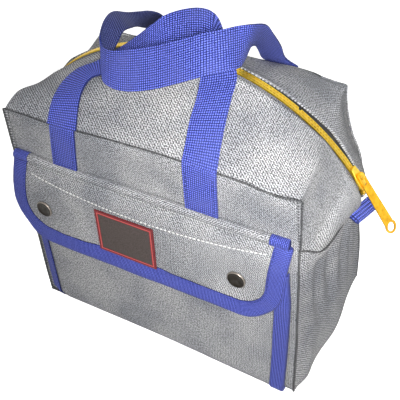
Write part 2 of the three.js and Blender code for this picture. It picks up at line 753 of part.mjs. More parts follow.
// Handles: each row gives the two edges of the webbing, first the edge that is uppermost in the loop. An edge is
// X from the leg it belongs to, Y, and its height over the hood there.
const frontHandleLeft = [
  [-20, -61.4, 2.6, 6.1, -57.6, 2.6],
  [-24.2, -40.8, 2.7, 4.3, -47, 2.6],
  [-17.5, -27.6, 2.6, 6.7, -38.8, 2.6],
  [3.8, -22.5, 2.8, 14.4, -35.8, 2.9],
  [20.7, -9, 3.4, 33, -30.4, 3.7],
  [40, -7.5, 14.5, 47, -22, 2.8],
  [53, -7.5, 24.4, 57, -16, 7.5],
];
const frontHandleRight = [
  [-72.5, 0.9, 27.8, -63, -13, 13.1],
  [-63.5, 10.2, 31.1, -53.1, -12, 15.1],
  [-43.9, 12.1, 37.8, -33.3, -9, 18.9],
  [-31.6, 10.7, 37.9, -24.3, -9, 19],
  [-21.8, 3.5, 34.6, -29.8, -6, 15.3],
  [-10.7, -5.4, 20.8, -30.7, -11.5, 3.7],
  [-1.8, -8.7, 4.1, -26.4, -24.7, 4.1],
  [1.8, -25.1, 2.7, -23.4, -37.7, 2.7],
  [5.6, -43.3, 2.6, -21.6, -51.8, 2.6],
  [9.8, -60.6, 2.7, -17.8, -66.5, 2.6],
];
const backHandleLeft = [
  [16, 75, 18.3, -12, 77, 14],
  [17.9, 60, 27.9, -1, 63, 14.6],
  [13.6, 46, 30.6, 10, 38, 14.9],
  [6.6, 26, 29.3, 20, 12, 13.2],
  [1.4, 10, 29.7, 21, -5, 15],
  [1.6, -3, 26.7, 20, -18, 10.6],
  [4.8, -15, 22.7, 19, -32, 10.3],
  [12, -23.8, 19.2, 23.2, -43.7, 8],
  [28.4, -32.5, 23.7, 35.1, -48.4, 8.1],
  [43.4, -33.7, 27.3, 49.9, -48.6, 8],
];
const backHandleRight = [
  [-64.9, -32.6, 32.6, -58.8, -48, 14.1],
  [-38.3, -30.4, 42.6, -32.4, -44.9, 24.1],
  [-18.8, -26.2, 50, -12.8, -40, 31],
  [-6.8, -15.5, 48, 0.5, -28.1, 28.1],
  [-0.8, -4.1, 44.5, 4, -18.1, 22],
  [6.2, 2, 45.8, 2.1, -2, 17.1],
  [10.6, 18, 43.4, -6, 24, 15.9],
  [9.7, 36, 32, -10, 42, 14.6],
  [8.7, 54, 19, -13.6, 57, 8.4],
  [7.2, 70, 6.6, -16.1, 70, 2.6],
];

function handle(side, leftRows, rightRows, startUp, endUp) {
  const edge = (leg, dx, y, lift) => vec(leg + dx, y, hoodHeight(leg + dx, y) + lift);
  const seam = (x) => vec(x, side * (seamDepth / 2 + clearance + webbing / 2), seamHeight + 0.8);
  const half = handleWidth / 2;
  const [left, right] = handlePlaces;
  const rows = [[seam(left + startUp * half), seam(left - startUp * half)]];
  for (const [leg, table] of [[left, leftRows], [right, rightRows]]) {
    for (const row of table) {
      rows.push([edge(leg, ...row.slice(0, 3)), edge(leg, ...row.slice(3))]);
    }
  }
  rows.push([seam(right + endUp * half), seam(right - endUp * half)]);
  return ribbon(rows, webbing, 5 * (rows.length - 1));
}

add("handle_front", handle(-1, frontHandleLeft, frontHandleRight, -1, 1), blue);
add("handle_back", handle(1, backHandleLeft, backHandleRight, 1, 1), blue);

export default bag;
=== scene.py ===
"""Looks of a zippered canvas tool bag: soft canvas, webbing, zip tape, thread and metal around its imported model.

Everything is in metres, +Z up, +X to the end where the zip closes, and -Y the front with the patch.
"""

import json
import math
from bisect import bisect_left

import bmesh
import bpy
from bpy.props import FloatProperty, FloatVectorProperty, PointerProperty
from mathutils import Matrix, Vector, noise


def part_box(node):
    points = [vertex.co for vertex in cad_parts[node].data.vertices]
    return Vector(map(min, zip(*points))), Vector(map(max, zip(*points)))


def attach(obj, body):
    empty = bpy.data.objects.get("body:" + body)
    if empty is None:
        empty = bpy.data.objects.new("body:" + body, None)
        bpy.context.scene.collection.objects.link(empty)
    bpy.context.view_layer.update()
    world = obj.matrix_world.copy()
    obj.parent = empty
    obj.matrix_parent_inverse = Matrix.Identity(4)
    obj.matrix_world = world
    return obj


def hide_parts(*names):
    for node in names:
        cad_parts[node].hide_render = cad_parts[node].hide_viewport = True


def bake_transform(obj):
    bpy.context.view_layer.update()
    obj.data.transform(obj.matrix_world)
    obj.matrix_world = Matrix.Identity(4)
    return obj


bl_info = {
    "name": "Zippered canvas tool bag",
    "version": (1, 0, 0),
    "blender": (4, 5, 0),
    "location": "3D View > Sidebar > Tool bag",
    "description": "Dresses the packed tool bag in canvas, webbing, thread and metal",
    "category": "Object",
}

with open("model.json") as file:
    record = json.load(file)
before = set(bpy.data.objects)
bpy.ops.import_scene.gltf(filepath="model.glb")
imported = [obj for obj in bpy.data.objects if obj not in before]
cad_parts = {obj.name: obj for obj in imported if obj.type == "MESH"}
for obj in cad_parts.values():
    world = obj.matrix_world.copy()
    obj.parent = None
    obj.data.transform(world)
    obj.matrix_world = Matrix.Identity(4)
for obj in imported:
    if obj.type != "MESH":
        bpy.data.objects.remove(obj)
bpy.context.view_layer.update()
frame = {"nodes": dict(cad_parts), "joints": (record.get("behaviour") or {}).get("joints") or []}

MM = 0.001
CLOTH = 1.6 * MM
# UV maps are in centimetres.
WEAVE_SCALE = 100
BAG_MIDDLE = Vector((0, 0, 0.12))
# How the pull hangs on the slider, and how it is twisted, in degrees.
PULL_FALL, PULL_TWIST = 55.2, 20
# The front flap hangs to the left of the middle.
FLAP_SHIFT = -2.75 * MM
SNAPS_X, SNAPS_Z, PATCH_X = (-0.111, 0.09), 0.14, -0.019
# Azimuth, height and roll in degrees.
CAMERA_TURN = (31.2, 42.1, -4.0)
CAMERA_DISTANCE, CAMERA_LENS, CAMERA_AIM = 0.671, 61.92, (0.006, 0, 0.123)
FLOOR_GLOW, WORLD_LIGHT = 0.85, 0.2
LAMP_AIM = (0, 0, 0.13)

# Name, place, size, power, aim, and the spread of the light in degrees.
LAMPS = (
    ("Key lamp", (0.33, -0.52, 0.575), 0.16, 1.12, (0.12, -0.055, 0.25), 66),
    ("Top lamp", (0.1, -0.3, 1.5), 1.0, 4, LAMP_AIM, 180),
    ("Side lamp", (1.5, 0.3, 0.7), 0.8, 0.8, LAMP_AIM, 180),
    ("Back lamp", (-0.6, 1.2, 0.6), 0.8, 2.5, LAMP_AIM, 180),
)
SIDES = (("front", -1), ("back", 1))
ENDS = (("left", -1), ("right", 1))

# Webbing edges of the handles. A row is two edge points, and a point is X from its leg, Y, and the height over the
# hood there, in millimetres.
FRONT_LEFT = (
    (-20, -61.4, 2.6, 6.1, -57.6, 2.6),
    (-24.2, -40.8, 2.7, 4.3, -47, 2.6),
    (-17.5, -27.6, 2.6, 6.7, -38.8, 2.6),
    (3.8, -22.5, 2.8, 14.4, -35.8, 2.9),
    (20.7, -9, 3.4, 33, -30.4, 3.7),
    (40, -7.5, 14.5, 47, -22, 2.8),
    (53, -7.5, 24.4, 57, -16, 7.5),
)
BACK_LEFT = (
    (16, 75, 18.3, -12, 77, 14),
    (17.9, 60, 27.9, -1, 63, 14.6),
    (13.6, 46, 30.6, 10, 38, 14.9),
    (6.6, 26, 29.3, 20, 12, 13.2),
    (1.4, 10, 29.7, 21, -5, 15),
    (1.6, -3, 26.7, 20, -18, 10.6),
    (4.8, -15, 22.7, 19, -32, 10.3),
    (12, -23.8, 19.2, 23.2, -43.7, 8),
    (28.4, -32.5, 23.7, 35.1, -48.4, 8.1),
    (43.4, -33.7, 27.3, 49.9, -48.6, 8),
)
BACK_RIGHT = (
    (-64.9, -32.6, 32.6, -58.8, -48, 14.1),
    (-38.3, -30.4, 42.6, -32.4, -44.9, 24.1),
    (-18.8, -26.2, 50, -12.8, -40, 31),
    (-6.8, -15.5, 48, 0.5, -28.1, 28.1),
    (-0.8, -4.1, 44.5, 4, -18.1, 22),
    (6.2, 2, 45.8, 2.1, -2, 17.1),
    (10.6, 18, 43.4, -6, 24, 15.9),
    (9.7, 36, 32, -10, 42, 14.6),
    (8.7, 54, 19, -13.6, 57, 8.4),
    (7.2, 70, 6.6, -16.1, 70, 2.6),
)
FRONT_RIGHT = (
    (-72.5, 0.9, 27.8, -63, -13, 13.1),
    (-63.5, 10.2, 31.1, -53.1, -12, 15.1),
    (-43.9, 12.1, 37.8, -33.3, -9, 18.9),
    (-31.6, 10.7, 37.9, -24.3, -9, 19),
    (-21.8, 3.5, 34.6, -29.8, -6, 15.3),
    (-10.7, -5.4, 20.8, -30.7, -11.5, 3.7),
    (-1.8, -8.7, 4.1, -26.4, -24.7, 4.1),
    (1.8, -25.1, 2.7, -23.4, -37.7, 2.7),
    (5.6, -43.3, 2.6, -21.6, -51.8, 2.6),
    (9.8, -60.6, 2.7, -17.8, -66.5, 2.6),
)


def length(label, words, default):
    return FloatProperty(name=label, description=words, default=default, min=0.0, unit="LENGTH")


def position(label, words, default):
    return FloatProperty(name=label, description=words, default=default, unit="LENGTH")


def colour(label, words, default):
    return FloatVectorProperty(
        name=label, description=words, default=default, size=3, min=0.0, max=1.0, subtype="COLOR"
    )


class BodySizes(bpy.types.PropertyGroup):
    base_length: length("Base length", "Front panel along its foot", 0.286)
    seam_length: length("Seam length", "Front panel along its top seam", 0.274)
    base_depth: length("Base depth", "Front face to back face at the foot", 0.158)
    seam_depth: length("Seam depth", "Front seam to back seam", 0.156)
    seam_height: length("Seam height", "Height of the long top seams", 0.237)
    end_seam: length("End seam", "Height of the end seam at its corners", 0.186)
    end_middle: length("End middle", "Height of the end seam in the middle", 0.172)
    end_bulge: length("End bulge", "How far the ends stand out at the zip", 0.014)
    cloth: length("Canvas", "Thickness of the canvas", CLOTH)
    crease: length("Crease", "Depth of the soft creases", 0.0022)
    fold: length("Fold", "Depth of the folds down the ends", 0.005)
    slump: length("Slump", "How far the back corner leans in", 0.021)
    puff: length("Puff", "How far the back seam swells up", 0.0055)
    droop: length("Droop", "How far the right end seam sinks", 0.007)
    hollow: length("Hollow", "Depth of the hollow beside the zip's left end", 0.003)


class ZipSizes(bpy.types.PropertyGroup):
    radius: length("Radius", "Radius of the zip's arc", 0.195)
    apex: length("Apex", "Highest point of the arc", 0.286)
    centre: position("Centre", "X of the arc's centre", -0.003)
    end_right: FloatProperty(name="Right end", description="Angle where the right end sits", default=57.5)
    end_left: FloatProperty(name="Left end", description="Angle where the left end sits", default=-54.5)
    mouth: length("Mouth", "Half length of the stretch that opens", 0.104)
    edge: length("Edge", "Hem of the hood from the middle", 0.007)
    rise: length("Rise", "Height of the hem over the teeth", 0.0022)
    crown: length("Crown", "How much the hood swells", 0.005)
    tape: length("Tape", "Width of the tape to each side", 0.012)
    spine: length("Spine", "Outer edge of a row of teeth", 0.0032)


class FlapSizes(bpy.types.PropertyGroup):
    half_width: length("Half width", "Half the flap's width", 0.137)
    hinge: length("Hinge", "Height of the rolled seam", 0.19)
    height: length("Height", "Rolled seam to lower edge", 0.085)
    corner: length("Corner", "Radius of the lower corners", 0.038)
    binding: length("Binding", "Width of the blue edge tape", 0.0155)
    roll: length("Roll", "Radius of the rolled seam", 0.0034)
    wave: length("Wave", "How much the lower edge waves", 0.0022)
    pocket_half_width: length("Pocket", "Half the pocket's width", 0.136)
    pocket_top: length("Pocket top", "Height of the pocket's lip", 0.16)
    pocket_tape: length("Pocket tape", "Width of the tape on the pocket's sides", 0.013)


class HandleSizes(bpy.types.PropertyGroup):
    width: length("Width", "Width of the webbing", 0.03)
    thickness: length("Thickness", "Thickness of the webbing", 0.0019)
    left: position("Left leg", "X of the left leg", -0.076)
    right: position("Right leg", "X of the right leg", 0.055)


class BagColours(bpy.types.PropertyGroup):
    canvas: colour("Canvas", "Grey twill", (0.265, 0.27, 0.28))
    webbing: colour("Webbing", "Royal blue", (0.043, 0.06, 0.295))
    binding: colour("Binding", "Blue edge tape", (0.038, 0.051, 0.255))
    # The back zip tape is drawn black, darker than the front's grey: painted shade under the back hem.
    tape: colour("Zip tape", "Black tape", (0.02, 0.02, 0.022))
    thread: colour("Thread", "Pale grey thread", (0.8, 0.8, 0.78))
    # The webbing's inner face is a darker navy copy of the blue: painted shade on the handles' inner sides.
    webbing_inner_shade: colour("Webbing inside", "Navy", (0.022, 0.030, 0.12))
    brass: colour("Brass", "Gold-coloured zip metal", (0.95, 0.50, 0.03))
    teeth: colour("Zip teeth", "Bright brass", (1.0, 0.70, 0.08))
    snap: colour("Snap", "Dark antique metal", (0.022, 0.018, 0.014))
    patch: colour("Patch field", "Dark field", (0.065, 0.05, 0.045))
    patch_edge: colour("Patch edge", "Dark red edge", (0.16, 0.012, 0.016))
    patch_line: colour("Patch line", "Pink-red inset line", (0.62, 0.10, 0.09))


def mix(a, b, share):
    return a + (b - a) * share


def clamp(share):
    return min(max(share, 0.0), 1.0)


def ease(value, low, high):
    share = clamp((value - low) / (high - low))
    return share * share * (3 - 2 * share)


def hump(value, low, high):
    return math.sin(math.pi * clamp((value - low) / (high - low)))


def steps(first, last, count):
    """Even steps from first to last, with both of them."""
    return [mix(first, last, i / count) for i in range(count + 1)]


def line_length(points):
    return sum((b - a).length for a, b in zip(points, points[1:]))


def off_middle(t):
    """The hood's t, kept off 0, where it has no side."""
    return t if abs(t) > 1e-4 else 1e-4


class BagForm:
    """The bag's surfaces, worked out from the sizes in the panel.

    The hood is measured by t along its seam: 0 in the middle of the bag, 1 at the mouth's end, 2 at the end of the long
    seam, 3 at the top corner of the end panel, and 4 at the zip, with a minus to the left. Its v is 0 at the seam and 1
    at the zip. A side is -1 in front and 1 behind.
    """

    def __init__(self, scene):
        self.body = scene.tool_bag_body
        self.zip = scene.tool_bag_zip
        self.flap = scene.tool_bag_flap
        self.handle = scene.tool_bag_handle
        # Room between two sewn solids.
        self.gap = 0.3 * MM
        self.zip_z = self.zip.apex - self.zip.radius

    def half_length(self, z):
        return mix(self.body.base_length, self.body.seam_length, z / self.body.seam_height) / 2

    def half_depth(self, z):
        return mix(self.body.base_depth, self.body.seam_depth, z / self.body.seam_height) / 2

    def end_face(self, z):
        """X of the end panel's face at its corners."""
        return self.half_length(z) + self.gap + self.body.cloth

    def end_top(self, y):
        """Height of the end seam, which sags towards its middle."""
        share = (y / self.half_depth(self.body.end_seam)) ** 2
        return mix(self.body.end_middle, self.body.end_seam, share)

    def end_x(self, y, z):
        """X of the end panel's face, which stands out most under the zip."""
        middle = 1 - (y / self.half_depth(z)) ** 4
        return self.end_face(z) + self.body.end_bulge * middle * (z / self.body.end_middle) ** 2

    def zip_point(self, angle, rise):
        """A point over the zip's arc, at an angle from its top."""
        reach = self.zip.radius + rise
        return Vector((self.zip.centre + reach * math.sin(angle), 0, self.zip_z + reach * math.cos(angle)))

    def zip_angle(self, x, rise):
        return math.asin((x - self.zip.centre) / (self.zip.radius + rise))

    def seam_point(self, side, t):
        """Where the hood is sewn to the body."""
        end, s = math.copysign(1, t), abs(t)
        b = self.body
        if s <= 2:
            x = s * self.zip.mouth if s <= 1 else mix(self.zip.mouth, self.end_face(b.seam_height), s - 1)
            return Vector((end * x, side * b.seam_depth / 2, b.seam_height + self.gap))
        if s <= 3:
            z = mix(b.seam_height, b.end_seam, s - 2) + self.gap
            return Vector((end * self.end_face(z), side * self.half_depth(z), z))
        y = mix(self.half_depth(b.end_seam), self.zip.edge + 4 * MM, min(s - 3, 1))
        z = self.end_top(y) + self.gap
        return Vector((end * self.end_x(y, z), side * y, z))

    def zip_edge(self, t):
        """Where the hood would meet the zip's middle."""
        end, s = math.copysign(1, t), abs(t)
        rise = self.zip.rise
        if s <= 1:
            return self.zip_point(self.zip_angle(t * self.zip.mouth, rise), rise)
        start = self.zip_angle(end * self.zip.mouth, rise)
        last = math.radians(self.zip.end_left if end < 0 else self.zip.end_right)
        share = 0.35 * (s - 1) if s <= 2 else 0.35 + 0.4 * (s - 2) if s <= 3 else 0.75 + 0.25 * (s - 3)
        return self.zip_point(mix(start, last, share), rise)

    def hood(self, side, t, v):
        """A point of the hood, which swells between its seam and the zip."""
        turn = ease(abs(t), 1, 3)
        swell = Vector((math.copysign(turn, t), 0, 1 - 0.7 * turn))
        point = self.seam_point(side, t).lerp(self.zip_edge(t), v)
        return point + swell * (self.zip.crown * 4 * v * (1 - v))

    def share(self, side, t, from_middle):
        """The hood's v at a distance from the zip's middle."""
        return 1 - from_middle / abs(self.seam_point(side, t).y)

    def hood_height(self, x, y):
        """Height of the hood over a place beside the zip, before it drapes."""
        side = -1 if y < 0 else 1
        t = x / self.zip.mouth
        return self.hood(side, t, self.share(side, t, max(abs(y), self.zip.edge))).z

    def draped(self, p):
        """Where a point of the sewn shape comes to rest in the filled bag."""
        x, y, z = p
        depth, seam = self.body.seam_depth / 2, self.body.seam_height
        # The back corner at the right leans in, and the back seam swells up beside it.
        lean = ease(x, 0.07, 0.139) * ease(y, 0, depth) * ease(z, 0.13, 0.235)
        out = Vector((x - self.body.slump * lean, y - 0.2 * self.body.slump * lean, z))
        puff = ease(y, 0.02, depth) * ease(z, 0.2, seam) * ease(x, -0.06, 0) * (1 - 0.4 * ease(x, 0.07, 0.13))
        out.z += self.body.puff * puff
        # The left end of the hood sinks behind the zip and stands up in front of it.
        out.z -= 0.009 * ease(-x, 0.045, 0.095) * hump(y, 0.006, 0.07) * ease(z, 0.2, 0.22)
        shoulder = ease(-x, 0.09, 0.13) * hump(-y, 0.012, 0.09) * ease(z, 0.16, 0.2)
        out += Vector((-0.003, -0.001, 0.004)) * shoulder
        # The front seam rises in the middle and dips at its right end.
        front = ease(-y, 0.045, depth) * (1 - ease(abs(z - seam), 0, 0.03))
        out.z += front * (0.0032 * hump(x, -0.08, 0.105) - 0.0025 * hump(x, 0.095, 0.142))
        # The right end swells at its foot, and its seam sinks.
        foot = ease(x, 0.11, 0.152) * (1 - ease(z, 0.03, 0.11))
        out.x += 0.008 * foot * ease(y, -0.079, -0.055) * (1 - 0.3 * ease(y, 0.05, 0.079))
        out.y -= 0.004 * ease(x, -0.02, 0.15) * (1 - ease(z, 0.0, 0.07)) * ease(-y, 0.03, depth)
        droop = ease(x, 0.12, 0.14) * (1 - ease(abs(z - 0.184), 0, 0.035)) * ease(y, -depth, -0.06)
        out.z -= self.body.droop * droop * (1 - 0.5 * ease(y, -0.055, -0.03)) * (1 - ease(y, -0.02, 0.02))
        # The hood falls away in front of the zip's left end.
        hollow = ease(-x, 0.07, 0.115) * ease(z, 0.195, 0.215) * ease(-y, 0.0035, 0.0065)
        hollow *= (0.0023 + self.body.hollow * ease(-y, 0.012, 0.035)) * (1 - ease(-y, 0.035, 0.06))
        return out + Vector((0.5, 0, -0.85)) * hollow

    def laid(self, x, y, z):
        return self.draped(Vector((x, y, z)))

    def pocket_face(self, z):
        """Distance from the bag's middle to the pocket's face, with the foot turned in."""
        depth = mix(7 * MM, 4.5 * MM, (z - 0.012) / (self.flap.pocket_top - 0.012))
        foot = mix(4 * MM, 0, (z - 0.0034) / (0.012 - 0.0034)) if z < 0.012 else 0
        return self.half_depth(z) + self.body.cloth + depth - foot

    def flap_face(self, z):
        """Distance from the bag's middle to the flap's face: down over the pocket's lip, and then along the pocket."""
        f = self.flap
        lip, foot, top = f.pocket_top + 3 * MM, f.hinge - f.height, f.hinge - f.roll - self.gap
        at_top = self.half_depth(f.hinge) + self.gap + CLOTH
        at_lip = self.pocket_face(lip) + 3.4 * MM
        at_foot = self.pocket_face(foot) + 4.4 * MM
        upper = mix(at_lip, at_top, (z - lip) / (top - lip))
        lower = mix(at_foot, at_lip, (z - foot) / (lip - foot))
        return mix(lower, upper, ease(z, lip - 6 * MM, lip + 6 * MM))


def wool(point, size, shift=0.0):
    """Smooth noise from -1 to 1 whose waves are about size across."""
    return noise.noise(point / size + Vector((shift, 1.7 * shift, -shift)))


def seam_swell(distance, height):
    """Cloth swells a little beside a seam and is pinched at it."""
    return height * (math.exp(-(((distance - 0.011) / 0.0075) ** 2)) - 0.9 * math.exp(-((distance / 0.0022) ** 2)))


def add_object(name, mesh, material, body, replaces=()):
    piece = bpy.data.objects.new(name, mesh)
    bpy.context.scene.collection.objects.link(piece)
    for each in material if isinstance(material, (list, tuple)) else [material]:
        mesh.materials.append(each)
    if body:
        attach(piece, body)
    if replaces:
        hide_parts(*replaces)
    return piece


def round_edges(piece, name, width, degrees):
    """Rounds the edges that are sharper than an angle."""
    bevel = piece.modifiers.new(name, "BEVEL")
    bevel.affect = "EDGES"
    bevel.width = width
    bevel.segments = 2
    bevel.profile = 0.5
    bevel.material = -1
    bevel.limit_method = "ANGLE"
    bevel.angle_limit = math.radians(degrees)


def mesh_from(bm, name, smooth=True):
    mesh = bpy.data.meshes.new(name)
    bm.to_mesh(mesh)
    bm.free()
    for face in mesh.polygons:
        face.use_smooth = smooth
    return mesh


def cloth_mesh(name, surface, columns, rows, crease=None):
    """A sheet from a grid that is laid on surface(u, v), with its lengths in centimetres as its UV map."""
    bm = bmesh.new()
    weave = bm.loops.layers.uv.new("weave")
    bmesh.ops.create_grid(bm, x_segments=columns, y_segments=rows, size=0.5)
    shares = {v: (v.co.x + 0.5, v.co.y + 0.5) for v in bm.verts}
    wide = WEAVE_SCALE * line_length([surface(u, 0.5) for u in steps(0, 1, 40)])
    tall = WEAVE_SCALE * line_length([surface(0.5, v) for v in steps(0, 1, 40)])
    for v, (a, b) in shares.items():
        v.co = surface(clamp(a), clamp(b))
    for face in bm.faces:
        for loop in face.loops:
            a, b = shares[loop.vert]
            loop[weave].uv = (a * wide, b * tall)
    bm.normal_update()
    outward = sum((f.normal.dot(f.calc_center_median() - BAG_MIDDLE) * f.calc_area() for f in bm.faces), 0.0)
    if outward < 0:
        bmesh.ops.reverse_faces(bm, faces=bm.faces)
        bm.normal_update()
    if crease:
        moves = {v: v.normal * crease(v.co) for v in bm.verts}
        for v, move in moves.items():
            v.co += move
    return mesh_from(bm, name)


def cloth_piece(
    name, surface, columns, rows, material, body, replaces=(), thickness=CLOTH, crease=None, offset=-1
):
    """A sheet with its thickness on its inner side, or half to each side where the offset is 0."""
    piece = add_object(name, cloth_mesh(name, surface, columns, rows, crease), material, body, replaces)
    wall = piece.modifiers.new("Cloth thickness", "SOLIDIFY")
    wall.thickness = thickness
    wall.offset = offset
    wall.use_even_offset = False
    return piece


def smooth_line(points):
    """A centripetal curve through the points: a function from 0 to 1, with even shares between the points."""
    points = [Vector(p) for p in points]
    ends = [points[0] * 2 - points[1]] + points + [points[-1] * 2 - points[-2]]

    def at(share):
        reached = clamp(share) * (len(points) - 1)
        i = min(int(reached), len(points) - 2)
        w = reached - i
        p0, p1, p2, p3 = ends[i : i + 4]
        d0, d1, d2 = (max((b - a).length, 1e-7) ** 0.5 for a, b in ((p0, p1), (p1, p2), (p2, p3)))
        m1 = ((p1 - p0) / d0 - (p2 - p0) / (d0 + d1) + (p2 - p1) / d1) * d1
        m2 = ((p2 - p1) / d1 - (p3 - p1) / (d1 + d2) + (p3 - p2) / d2) * d1
        return p1 + m1 * w + (p1 * -3 + p2 * 3 - m1 * 2 - m2) * w**2 + (p1 * 2 - p2 * 2 + m1 + m2) * w**3

    return at


def even_shares(line, count=400):
    """A function that turns an even share of a line's length into the line's own share."""
    points = [line(share) for share in steps(0, 1, count)]
    reached = [0.0]
    for a, b in zip(points, points[1:]):
        reached.append(reached[-1] + (b - a).length)

    def even(share):
        wanted = clamp(share) * reached[-1]
        i = min(max(bisect_left(reached, wanted), 1), count)
        return (i - 1 + (wanted - reached[i - 1]) / max(reached[i] - reached[i - 1], 1e-9)) / count

    return even


def webbing_piece(name, rows, count, material, body, replaces, thickness):
    """Webbing between two edge lines, with soft edges and a UV map in centimetres."""
    upper, lower = (smooth_line([row[k] for row in rows]) for k in (0, 1))
    even = even_shares(lambda u: (lower(u) + upper(u)) / 2)

    def surface(u, v):
        return lower(even(u)).lerp(upper(even(u)), v)

    piece = cloth_piece(name, surface, count, 8, material, body, replaces, thickness, offset=0)
    # The inner side takes the last material; on the handles that is the darker navy which paints their shade.
    piece.modifiers["Cloth thickness"].material_offset = len(piece.data.materials) - 1
    round_edges(piece, "Soft edge", 0.5 * MM, 50)


def cord_piece(name, points, radius, material, body, replaces=()):
    """A seam's welt: a round cord of cloth along a line, closed at its ends."""
    points = [Vector(p) for p in points]
    ways = [(b - a).normalized() for a, b in zip(points, points[1:])]
    ways.append(ways[-1])
    ups = [ways[0].orthogonal().normalized()]
    for way in ways[1:]:
        ups.append((ups[-1] - way * ups[-1].dot(way)).normalized())
    reach = WEAVE_SCALE * line_length(points)
    bm = bmesh.new()
    weave = bm.loops.layers.uv.new("weave")
    bmesh.ops.create_grid(bm, x_segments=len(points) - 1, y_segments=10, size=0.5)
    for face in bm.faces:
        for loop in face.loops:
            u, v = loop.vert.co.x + 0.5, loop.vert.co.y + 0.5
            loop[weave].uv = (u * reach, v * math.tau * radius * WEAVE_SCALE)
    for v in bm.verts:
        i = round((v.co.x + 0.5) * (len(points) - 1))
        turn = math.tau * (v.co.y + 0.5)
        side = ways[i].cross(ups[i])
        v.co = points[i] + (ups[i] * math.cos(turn) + side * math.sin(turn)) * radius
    bmesh.ops.remove_doubles(bm, verts=bm.verts, dist=1e-6)
    bmesh.ops.holes_fill(bm, edges=[e for e in bm.edges if e.is_boundary], sides=0)
    bmesh.ops.recalc_face_normals(bm, faces=bm.faces)
    return add_object(name, mesh_from(bm, name), material, body, replaces)


def stitch_piece(name, lines, material, body, stitch=2.6 * MM, thickness=0.38 * MM):
    """Rows of thread: one low grain for each stitch along each line of (point, normal) pairs."""
    pitch = 3.8 * MM
    bm = bmesh.new()
    for line in lines:
        travelled = 0.0
        for (a, out_a), (b, _) in zip(line, line[1:]):
            step = b - a
            travelled += step.length
            if travelled < pitch or step.length < 1e-6:
                continue
            travelled = 0.0
            along = step.normalized()
            out = (out_a - along * out_a.dot(along)).normalized()
            turn = Matrix((along, out.cross(along), out)).transposed().to_4x4()
            size = Matrix.Diagonal((stitch / 2, thickness, thickness * 0.8, 1))
            bmesh.ops.create_icosphere(bm, subdivisions=1, radius=1, matrix=Matrix.Translation(a) @ turn @ size)
    return add_object(name, mesh_from(bm, name), material, body)


class Nodes:
    """An emptied node tree: nodes are added by type, and sockets are set or linked by name."""

    def __init__(self, owner):
        owner.use_nodes = True
        self.tree = owner.node_tree
        self.tree.nodes.clear()

    def node(self, kind, inputs=(), **values):
        node = self.tree.nodes.new(kind)
        for key, value in values.items():
            setattr(node, key, value)
        for key, value in dict(inputs).items():
            node.inputs[key].default_value = value
        return node

    def link(self, source, out, target, into):
        self.tree.links.new(source.outputs[out], target.inputs[into])

    def show(self, lighting, background, output):
        """Camera, glossy and transmission rays see the white background, and other rays meet the lighting."""
        path = self.node("ShaderNodeLightPath")
        seen, out = path, "Is Camera Ray"
        for name in ("Is Glossy Ray", "Is Transmission Ray"):
            either = self.node("ShaderNodeMath", operation="MAXIMUM")
            self.link(seen, out, either, 0)
            self.link(path, name, either, 1)
            seen, out = either, 0
        choice = self.node("ShaderNodeMixShader")
        self.link(seen, out, choice, "Fac")
        self.link(lighting, 0, choice, 1)
        self.link(background, 0, choice, 2)
        self.link(choice, 0, self.node(output), "Surface")


class Finish(Nodes):
    """A material under construction."""

    def __init__(self, name):
        self.material = bpy.data.materials.new(name)
        super().__init__(self.material)
        self.shader = self.node("ShaderNodeBsdfPrincipled")
        self.link(self.shader, "BSDF", self.node("ShaderNodeOutputMaterial"), "Surface")

    def shader_values(self, **values):
        for key, value in values.items():
            self.shader.inputs[key.replace("_", " ")].default_value = value

    def weave_map(self, scale=(1, 1, 1)):
        """The piece's own UV map, in centimetres."""
        placed = self.node("ShaderNodeMapping", {"Scale": scale})
        self.link(self.node("ShaderNodeUVMap", uv_map="weave"), "UV", placed, "Vector")
        return placed

    def body_map(self):
        return self.node("ShaderNodeTexCoord")

    def wave(self, source, period, direction="X", distortion=0.0):
        """Stripes on the weave map with a period in centimetres."""
        wave = self.node(
            "ShaderNodeTexWave",
            {"Scale": 2 * math.pi / (20 * period), "Distortion": distortion, "Detail": 1.0, "Detail Scale": 2.0},
            bands_direction=direction,
        )
        self.link(source, "Vector", wave, "Vector")
        return wave

    def noise(self, source, out, size, detail=2.0, rough=0.5):
        texture = self.node("ShaderNodeTexNoise", {"Scale": 1 / size, "Detail": detail, "Roughness": rough})
        self.link(source, out, texture, "Vector")
        return texture

    def maths(self, operation, first, second, out_first=0, out_second=0):
        node = self.node("ShaderNodeMath", operation=operation)
        for k, (value, out) in enumerate(((first, out_first), (second, out_second))):
            if isinstance(value, (int, float)):
                node.inputs[k].default_value = value
            else:
                self.link(value, out, node, k)
        return node

    def ramp(self, source, *stops):
        ramp = self.node("ShaderNodeValToRGB")
        band = ramp.color_ramp
        while len(band.elements) < len(stops):
            band.elements.new(0.5)
        for element, (place, tone) in zip(band.elements, stops):
            element.position = place
            element.color = (*tone, 1)
        self.link(source, 0, ramp, "Fac")
        return ramp

    def blended(self, factor, first, second, blend="MIX"):
        """A colour between two colours or colour nodes, by a number or a node."""
        node = self.node("ShaderNodeMix", data_type="RGBA", blend_type=blend)
        if isinstance(factor, bpy.types.Node):
            self.link(factor, 0, node, "Factor")
        else:
            node.inputs["Factor"].default_value = factor
        sockets = [s for s in node.inputs if s.type == "RGBA"]
        for socket, value in zip(sockets, (first, second)):
            if isinstance(value, bpy.types.Node):
                self.colour_to(value, socket)
            else:
                socket.default_value = (*value, 1)
        return node

    def colour_to(self, node, socket):
        self.tree.links.new(next(s for s in node.outputs if s.type == "RGBA"), socket)

    def colour_from(self, node):
        self.colour_to(node, self.shader.inputs["Base Color"])

    def bumps(self, *heights):
        """A chain of bumps: each is (node, output, strength, distance in metres)."""
        last = None
        for source, out, strength, distance in heights:
            bump = self.node("ShaderNodeBump", {"Strength": strength, "Distance": distance})
            self.link(source, out, bump, "Height")
            if last:
                self.link(last, "Normal", bump, "Normal")
            last = bump
        self.link(last, "Normal", self.shader, "Normal")


def shade(base, factor, lift=0.0):
    return tuple(clamp(c * factor + lift) for c in base)


